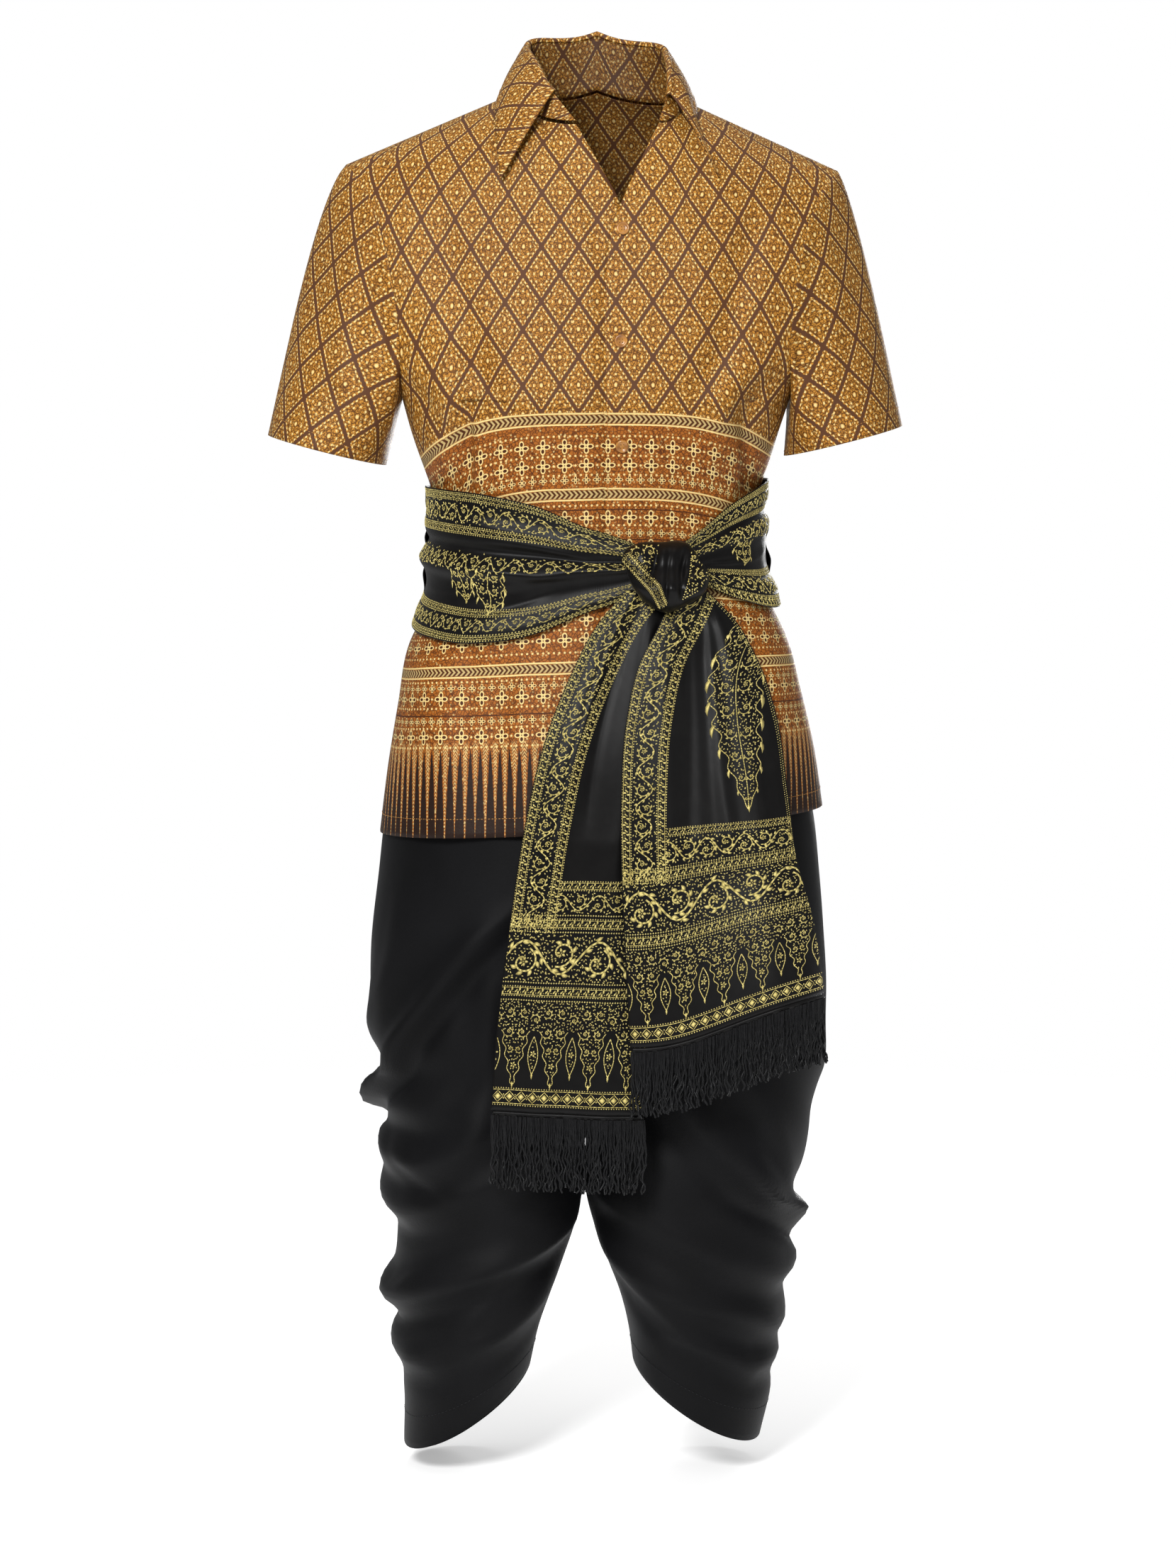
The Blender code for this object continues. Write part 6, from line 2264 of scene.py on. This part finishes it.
def make_stitches(thread, black_thread):
    """Rows of stitches along the shirt's hem, front edge, cuffs and collar, and round the trousers' hems."""
    tree = stitch_growth()
    lines = []
    for side in ("right", "left"):
        front, tube = shirt_front(side)[0], sleeve(side)[0]
        lines.append(row_line(front, HEM_STITCH_ROW, STITCH_OFF))
        ring = row_line(np.concatenate([tube, tube[:, :1]], 1), CUFF_STITCH_ROW, STITCH_OFF)
        lines.append(ring)
    lines.append(row_line(shirt_back()[0], HEM_STITCH_ROW, STITCH_OFF))
    lines.append(column_line(shirt_front("left")[0][:-2], 3.0, STITCH_OFF))
    leaf = collar_leaf()[0]
    edge = row_line(leaf, -4.0, STITCH_OFF)
    lines.append(edge[3:-3])
    down = leaf[12:-3]
    lines.append(column_line(down, 4.0, STITCH_OFF))
    lines.append(column_line(down, -4.0, STITCH_OFF))
    piece = tree.grown(
        "shirt_stitches",
        lines,
        Pitch=SHIRT_PITCH,
        Stitch_Length=0.0025,
        Thread_Radius=0.0003,
        Material=thread,
    )
    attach(piece, "root")
    lines = [row_line(leg(side)[0], TROUSER_HEM_ROW, STITCH_OFF)[2:-2] for side in ("right", "left")]
    lower = tree.grown(
        "trouser_stitches",
        lines,
        Pitch=TROUSER_PITCH,
        Stitch_Length=0.0031,
        Thread_Radius=0.00035,
        Material=black_thread,
    )
    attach(lower, "root")
    return piece, lower


FRINGES = {"right": (104, 0.071, 31), "left": (140, 0.063, 37)}
FRINGE_STRIP = 4.6


def make_fringe(tree, side, yarn, satin):
    """Yarn that hangs from a narrow strip along a hanging end's lower edge."""
    strands, length, seed = FRINGES[side]
    end = HangingEnd(side)
    share = np.linspace(0.008, 0.992, 90)
    edge = end.point(share, 1.0, -0.4)
    rows = [edge - (0, 0, SEAM_GAP), edge - (0, 0, SEAM_GAP + FRINGE_STRIP)]
    points = np.array(rows)
    if normals(points)[0, 40, 1] > 0:
        points = points[:, ::-1]
    strip = cloth_piece(f"fringe_{side}_strip", (points, grid_uv(points)), SASH_CLOTH, (satin,))
    strip = finished(strip)
    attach(strip, "root")
    roots = edge - (0, -0.5, SEAM_GAP + FRINGE_STRIP - 0.6)
    piece = tree.grown(
        f"fringe_{side}_yarn",
        [roots],
        Strands=strands,
        Length=length - FRINGE_STRIP * MM,
        Yarn_Radius=0.001,
        Sway=0.007,
        Depth=0.0022,
        Seed=seed,
        Material=yarn,
    )
    ride_for(piece, "fringe_yarn", f"sash_fringe_{side}")
    return piece, strip


def left_front_point(middle, level):
    if level < ARMPIT:
        return torso_point("left", "front", middle, level)
    share = (level - ARMPIT) / (ridge("left", middle) - ARMPIT)
    return chest_point("left", "front", middle, share)


BUTTON_PROFILE = (
    (0.0, 1.5),
    (2.6, 1.55),
    (3.5, 1.75),
    (4.1, 2.45),
    (4.7, 2.7),
    (5.3, 2.55),
    (5.75, 2.0),
    (5.9, 1.3),
    (5.6, 0.5),
    (5.0, 0.1),
    (0.0, 0.0),
)
HOLE_PLACES = ((1.25, 1.25), (-1.25, 1.25), (-1.25, -1.25), (1.25, -1.25))


def make_button(number, level, finish, dark, thread):
    """A turned button with a raised rim and four holes shown as dark plugs of painted shade, sewn through
    with two turns of thread.
    """
    share = (level - ARMPIT) / (RIDGE_HEIGHT - ARMPIT if level > ARMPIT else ARMPIT - HEM)
    middle = FRONT_EDGES.at("left", share) + BUTTON_INSET
    at = left_front_point(middle, level)
    across = left_front_point(middle + 5, level) - at
    out = Vector(np.cross(across, left_front_point(middle, level + 5) - at)).normalized()
    shape = bmesh.new()
    steps = 40
    rings = []
    for radius, height in BUTTON_PROFILE:
        if radius == 0:
            rings.append([shape.verts.new((0, 0, height))])
            continue
        turns = [2 * math.pi * i / steps for i in range(steps)]
        rings.append([shape.verts.new((radius * math.cos(t), radius * math.sin(t), height)) for t in turns])
    for upper, lower in zip(rings[:-1], rings[1:], strict=True):
        for i in range(steps):
            a, b = upper[i % len(upper)], upper[(i + 1) % len(upper)]
            c, d = lower[(i + 1) % len(lower)], lower[i % len(lower)]
            shape.faces.new(list(dict.fromkeys((a, d, c, b))))
    # Each hole is a shallow plug in a dark colour: painted shade standing in for the hollow of the hole.
    for x, y in HOLE_PLACES:
        hole = bmesh.ops.create_cone(shape, cap_ends=True, segments=12, radius1=0.62, radius2=0.5, depth=0.3)
        bmesh.ops.translate(shape, verts=hole["verts"], vec=(x, y, 1.5))
        for face in {face for vertex in hole["verts"] for face in vertex.link_faces}:
            face.material_index = 1
    for y in (1.25, -1.25):
        for shift in (-0.22, 0.22):
            bar = bmesh.ops.create_uvsphere(shape, u_segments=8, v_segments=8, radius=1.0)
            for vertex in bar["verts"]:
                x, across, up = vertex.co
                vertex.co = Vector((x * 1.6, across * 0.24 + y + shift, up * 0.3 + 1.85))
            for face in {face for vertex in bar["verts"] for face in vertex.link_faces}:
                face.material_index = 2
    bmesh.ops.recalc_face_normals(shape, faces=shape.faces)
    shape.transform(out.to_track_quat("Z", "X").to_matrix().to_4x4())
    bmesh.ops.translate(shape, verts=shape.verts, vec=Vector(at) + out * 0.3)
    bmesh.ops.scale(shape, verts=shape.verts, vec=(MM, MM, MM))
    mesh = bpy.data.meshes.new(f"button_{number}_turned")
    shape.to_mesh(mesh)
    shape.free()
    piece = add_piece(f"button_{number}_turned", mesh, (finish, dark, thread))
    ride_for(piece, "button", f"button_{number}")
    return piece


# Camera, floor and lights.


def make_camera():
    data = bpy.data.cameras.new("camera")
    data.lens = CAMERA_LENS
    camera = bpy.data.objects.new("camera", data)
    bpy.context.scene.collection.objects.link(camera)
    camera.location = CAMERA_PLACE
    look = Vector(CAMERA_TARGET) - Vector(CAMERA_PLACE)
    camera.rotation_euler = look.to_track_quat("-Z", "Y").to_euler()
    bpy.context.scene.camera = camera


def make_floor():
    """A pale floor just under the hems, which fades out into the white surroundings."""
    level = min(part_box(f"trouser_leg_{side}")[0].z for side in ("right", "left")) - 0.002
    mesh = bpy.data.meshes.new("floor")
    corners = [(-FLOOR_REACH, -FLOOR_REACH), (FLOOR_REACH, -FLOOR_REACH), (FLOOR_REACH, FLOOR_REACH)]
    corners.append((-FLOOR_REACH, FLOOR_REACH))
    mesh.from_pydata([(x, y, level) for x, y in corners], [], [(0, 1, 2, 3)])
    floor = bpy.data.objects.new("floor", mesh)
    bpy.context.scene.collection.objects.link(floor)
    material, shader = new_finish(
        "floor_paper", Roughness=0.9, Specular_IOR_Level=0.1, Emission_Strength=0.35
    )
    shader.inputs["Base Color"].default_value = (0.94, 0.94, 0.94, 1.0)
    shader.inputs["Emission Color"].default_value = (1.0, 1.0, 1.0, 1.0)
    parts = Field.tree.nodes.new("ShaderNodeSeparateXYZ")
    Field.tree.links.new(object_place(), parts.inputs[0])
    away = hypotenuse(Field(parts.outputs[0]), Field(parts.outputs[1]))
    fade = under(away, FLOOR_REACH * 0.62, FLOOR_REACH * 0.7)
    Field.tree.links.new(fade.socket, shader.inputs["Alpha"])
    mesh.materials.append(material)


def add_light(name, place, target, size, power):
    data = bpy.data.lights.new(name, "AREA")
    data.shape = "DISK"
    data.size = size
    data.energy = power
    lamp = bpy.data.objects.new(name, data)
    bpy.context.scene.collection.objects.link(lamp)
    lamp.location = place
    lamp.rotation_euler = (Vector(target) - Vector(place)).to_track_quat("-Z", "Y").to_euler()


def light_the_studio():
    """Soft light from the front, with surroundings that look white and give a little light from all round."""
    bpy.context.scene.view_settings.view_transform = "Standard"
    world = bpy.data.worlds.new("studio")
    world.use_nodes = True
    background = world.node_tree.nodes["Background"]
    background.inputs["Color"].default_value = (1.0, 1.0, 1.0, 1.0)
    seen = world.node_tree.nodes.new("ShaderNodeLightPath").outputs["Is Camera Ray"]
    strength = world.node_tree.nodes.new("ShaderNodeMath")
    strength.operation = "MULTIPLY_ADD"
    world.node_tree.links.new(seen, strength.inputs[0])
    strength.inputs[1].default_value = 1.0 - AROUND
    strength.inputs[2].default_value = AROUND
    world.node_tree.links.new(strength.outputs[0], background.inputs["Strength"])
    bpy.context.scene.world = world
    add_light("key", (-1.1, -3.6, 1.4), (0, 0, -0.4), 1.2, 175)
    add_light("fill", (2.6, -2.6, 0.4), (0, 0, -0.6), 2.0, 14)
    add_light("top", (0.2, 0.6, 2.4), (0, 0, -0.6), 2.2, 26)
    add_light("back", (0.7, 3.4, -0.2), (0, 0, -0.6), 1.5, 60)


FLOOR_REACH = 2.4
AROUND = 0.3

# Putting the dress together.


def knot():
    """The bundled knot with its gathered front."""
    shape = bmesh.new()
    bmesh.ops.create_uvsphere(shape, u_segments=96, v_segments=64, radius=1.0)
    for vertex in shape.verts:
        x, y, z = vertex.co.x, vertex.co.z, vertex.co.y
        reach = math.sqrt(max(1 - y * y, 0.0))
        flat = math.hypot(x, z) or 1.0
        point = knot_point(x / flat * reach, z / flat * reach)
        if y <= 0:
            point[1] = knot_rim(point[0], point[2]) + KNOT_BACK * (1 - reach**2)
        vertex.co = Vector(point) * MM
    bmesh.ops.recalc_face_normals(shape, faces=shape.faces)
    mesh = bpy.data.meshes.new("knot_cloth")
    shape.to_mesh(mesh)
    shape.free()
    return mesh


def add_piece(name, mesh, materials):
    for material in materials:
        mesh.materials.append(material)
    mesh.shade_smooth()
    piece = bpy.data.objects.new(name, mesh)
    bpy.context.scene.collection.objects.link(piece)
    return piece


def knot_band():
    side, share = np.meshgrid(np.linspace(-1, 1, 13), np.linspace(0, 1, 41))
    points = knot_band_point(share, side)
    if normals(points)[20, 6, 1] > 0:
        points = points[:, ::-1]
    return points, grid_uv(points)


def ride_for(piece, slot, *nodes):
    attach(piece, "root")
    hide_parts(*nodes)


def make_dress():
    # The wrong side's print is darkened halfway towards dark brown as painted shade, for the inside of the
    # shirt and its cut edges.
    outer, inner = make_print("cotton_print", 1.0), make_print("cotton_print_wrong_side", 0.5)
    trouser_cloth = make_trouser_cloth()
    satin = make_satin("sash_satin", linear(10, 9, 9))
    gold = make_gold_thread("brocade_gold", linear(246, 228, 144), linear(160, 140, 66))
    yarn, thread = make_yarn(), make_thread("sewing_thread", linear(200, 150, 84), linear(150, 100, 52))
    black_thread = make_thread("black_thread", linear(30, 30, 33), linear(18, 18, 20))
    # The button holes' dark colour is painted shade for their hollows.
    dark = make_thread("button_hole_dark", linear(40, 24, 12), linear(30, 18, 10))
    button_finish = make_button_finish()
    fringe = fringe_growth()
    cotton = (outer, inner)
    for side in ("right", "left"):
        piece = cloth_piece(f"shirt_front_{side}_cloth", shirt_front(side), SHIRT_CLOTH, cotton)
        ride_for(finished(piece), "printed_cotton", f"shirt_front_{side}")
        piece = cloth_piece(f"sleeve_{side}_cloth", sleeve(side), SHIRT_CLOTH, cotton, girth=SLEEVE_GIRTH)
        ride_for(finished(piece), "printed_cotton", f"sleeve_{side}")
        piece = cloth_piece(
            f"trouser_leg_{side}_cloth", leg(side), TROUSER_CLOTH, (trouser_cloth,), merge=True
        )
        ride_for(finished(piece), "trouser_cloth", f"trouser_leg_{side}")
        end = HangingEnd(side)
        piece = cloth_piece(f"sash_tail_{side}_cloth", end.surface(), SASH_CLOTH, (satin,))
        ride_for(finished(piece), "brocade", f"sash_tail_{side}")
        hanging_end_gold(side, gold)
        make_fringe(fringe, side, yarn, satin)
    piece = cloth_piece("shirt_back_cloth", shirt_back(), SHIRT_CLOTH, cotton)
    ride_for(finished(piece), "printed_cotton", "shirt_back")
    piece = cloth_piece("collar_stand_cloth", collar_stand(), COLLAR_CLOTH, cotton)
    ride_for(finished(piece), "printed_cotton", "collar_stand")
    piece = cloth_piece("collar_leaf_cloth", collar_leaf(), COLLAR_CLOTH, cotton)
    ride_for(finished(piece), "printed_cotton", "collar_leaf")
    piece = cloth_piece("waistband_cloth", waistband(), TROUSER_CLOTH, (trouser_cloth,), girth=0.0)
    ride_for(finished(piece), "trouser_cloth", "trouser_waistband")
    piece = cloth_piece("back_tail_cloth", back_tail(), TROUSER_CLOTH, (trouser_cloth,))
    ride_for(finished(piece), "trouser_cloth", "trouser_back_tail")
    for name, wrap in WRAPS.items():
        piece = cloth_piece(f"{name}_cloth", wrap.surface(), SASH_CLOTH, (satin,))
        ride_for(finished(piece), "brocade", name)
        wrap_gold(name, wrap, WRAP_LAYOUTS[name], gold)
    knot_piece = add_piece("knot_cloth", knot(), (satin,))
    ride_for(knot_piece, "brocade", "sash_knot")
    piece = cloth_piece("knot_band_cloth", knot_band(), SASH_CLOTH, (satin,))
    ride_for(finished(piece), "brocade", "sash_knot_band")
    knot_gold(gold)
    stitches, black_stitches = make_stitches(thread, black_thread)
    buttons = [
        make_button(number, level, button_finish, dark, thread)
        for number, level in enumerate(BUTTON_LEVELS, start=1)
    ]


WRAPS = {
    "sash_front_right": Wrap(WRAP_FRONT_RIGHT, WRAP_FRONT_RIGHT_RELIEF, gathered_to_knot, 118.0),
    "sash_front_left": Wrap(WRAP_FRONT_LEFT, WRAP_FRONT_LEFT_RELIEF, gathered_from_knot, 118.0),
    "sash_back": Wrap(WRAP_BACK, WRAP_BACK_RELIEF, level_folds, 118.0),
}

make_camera()
make_floor()
light_the_studio()
make_dress()
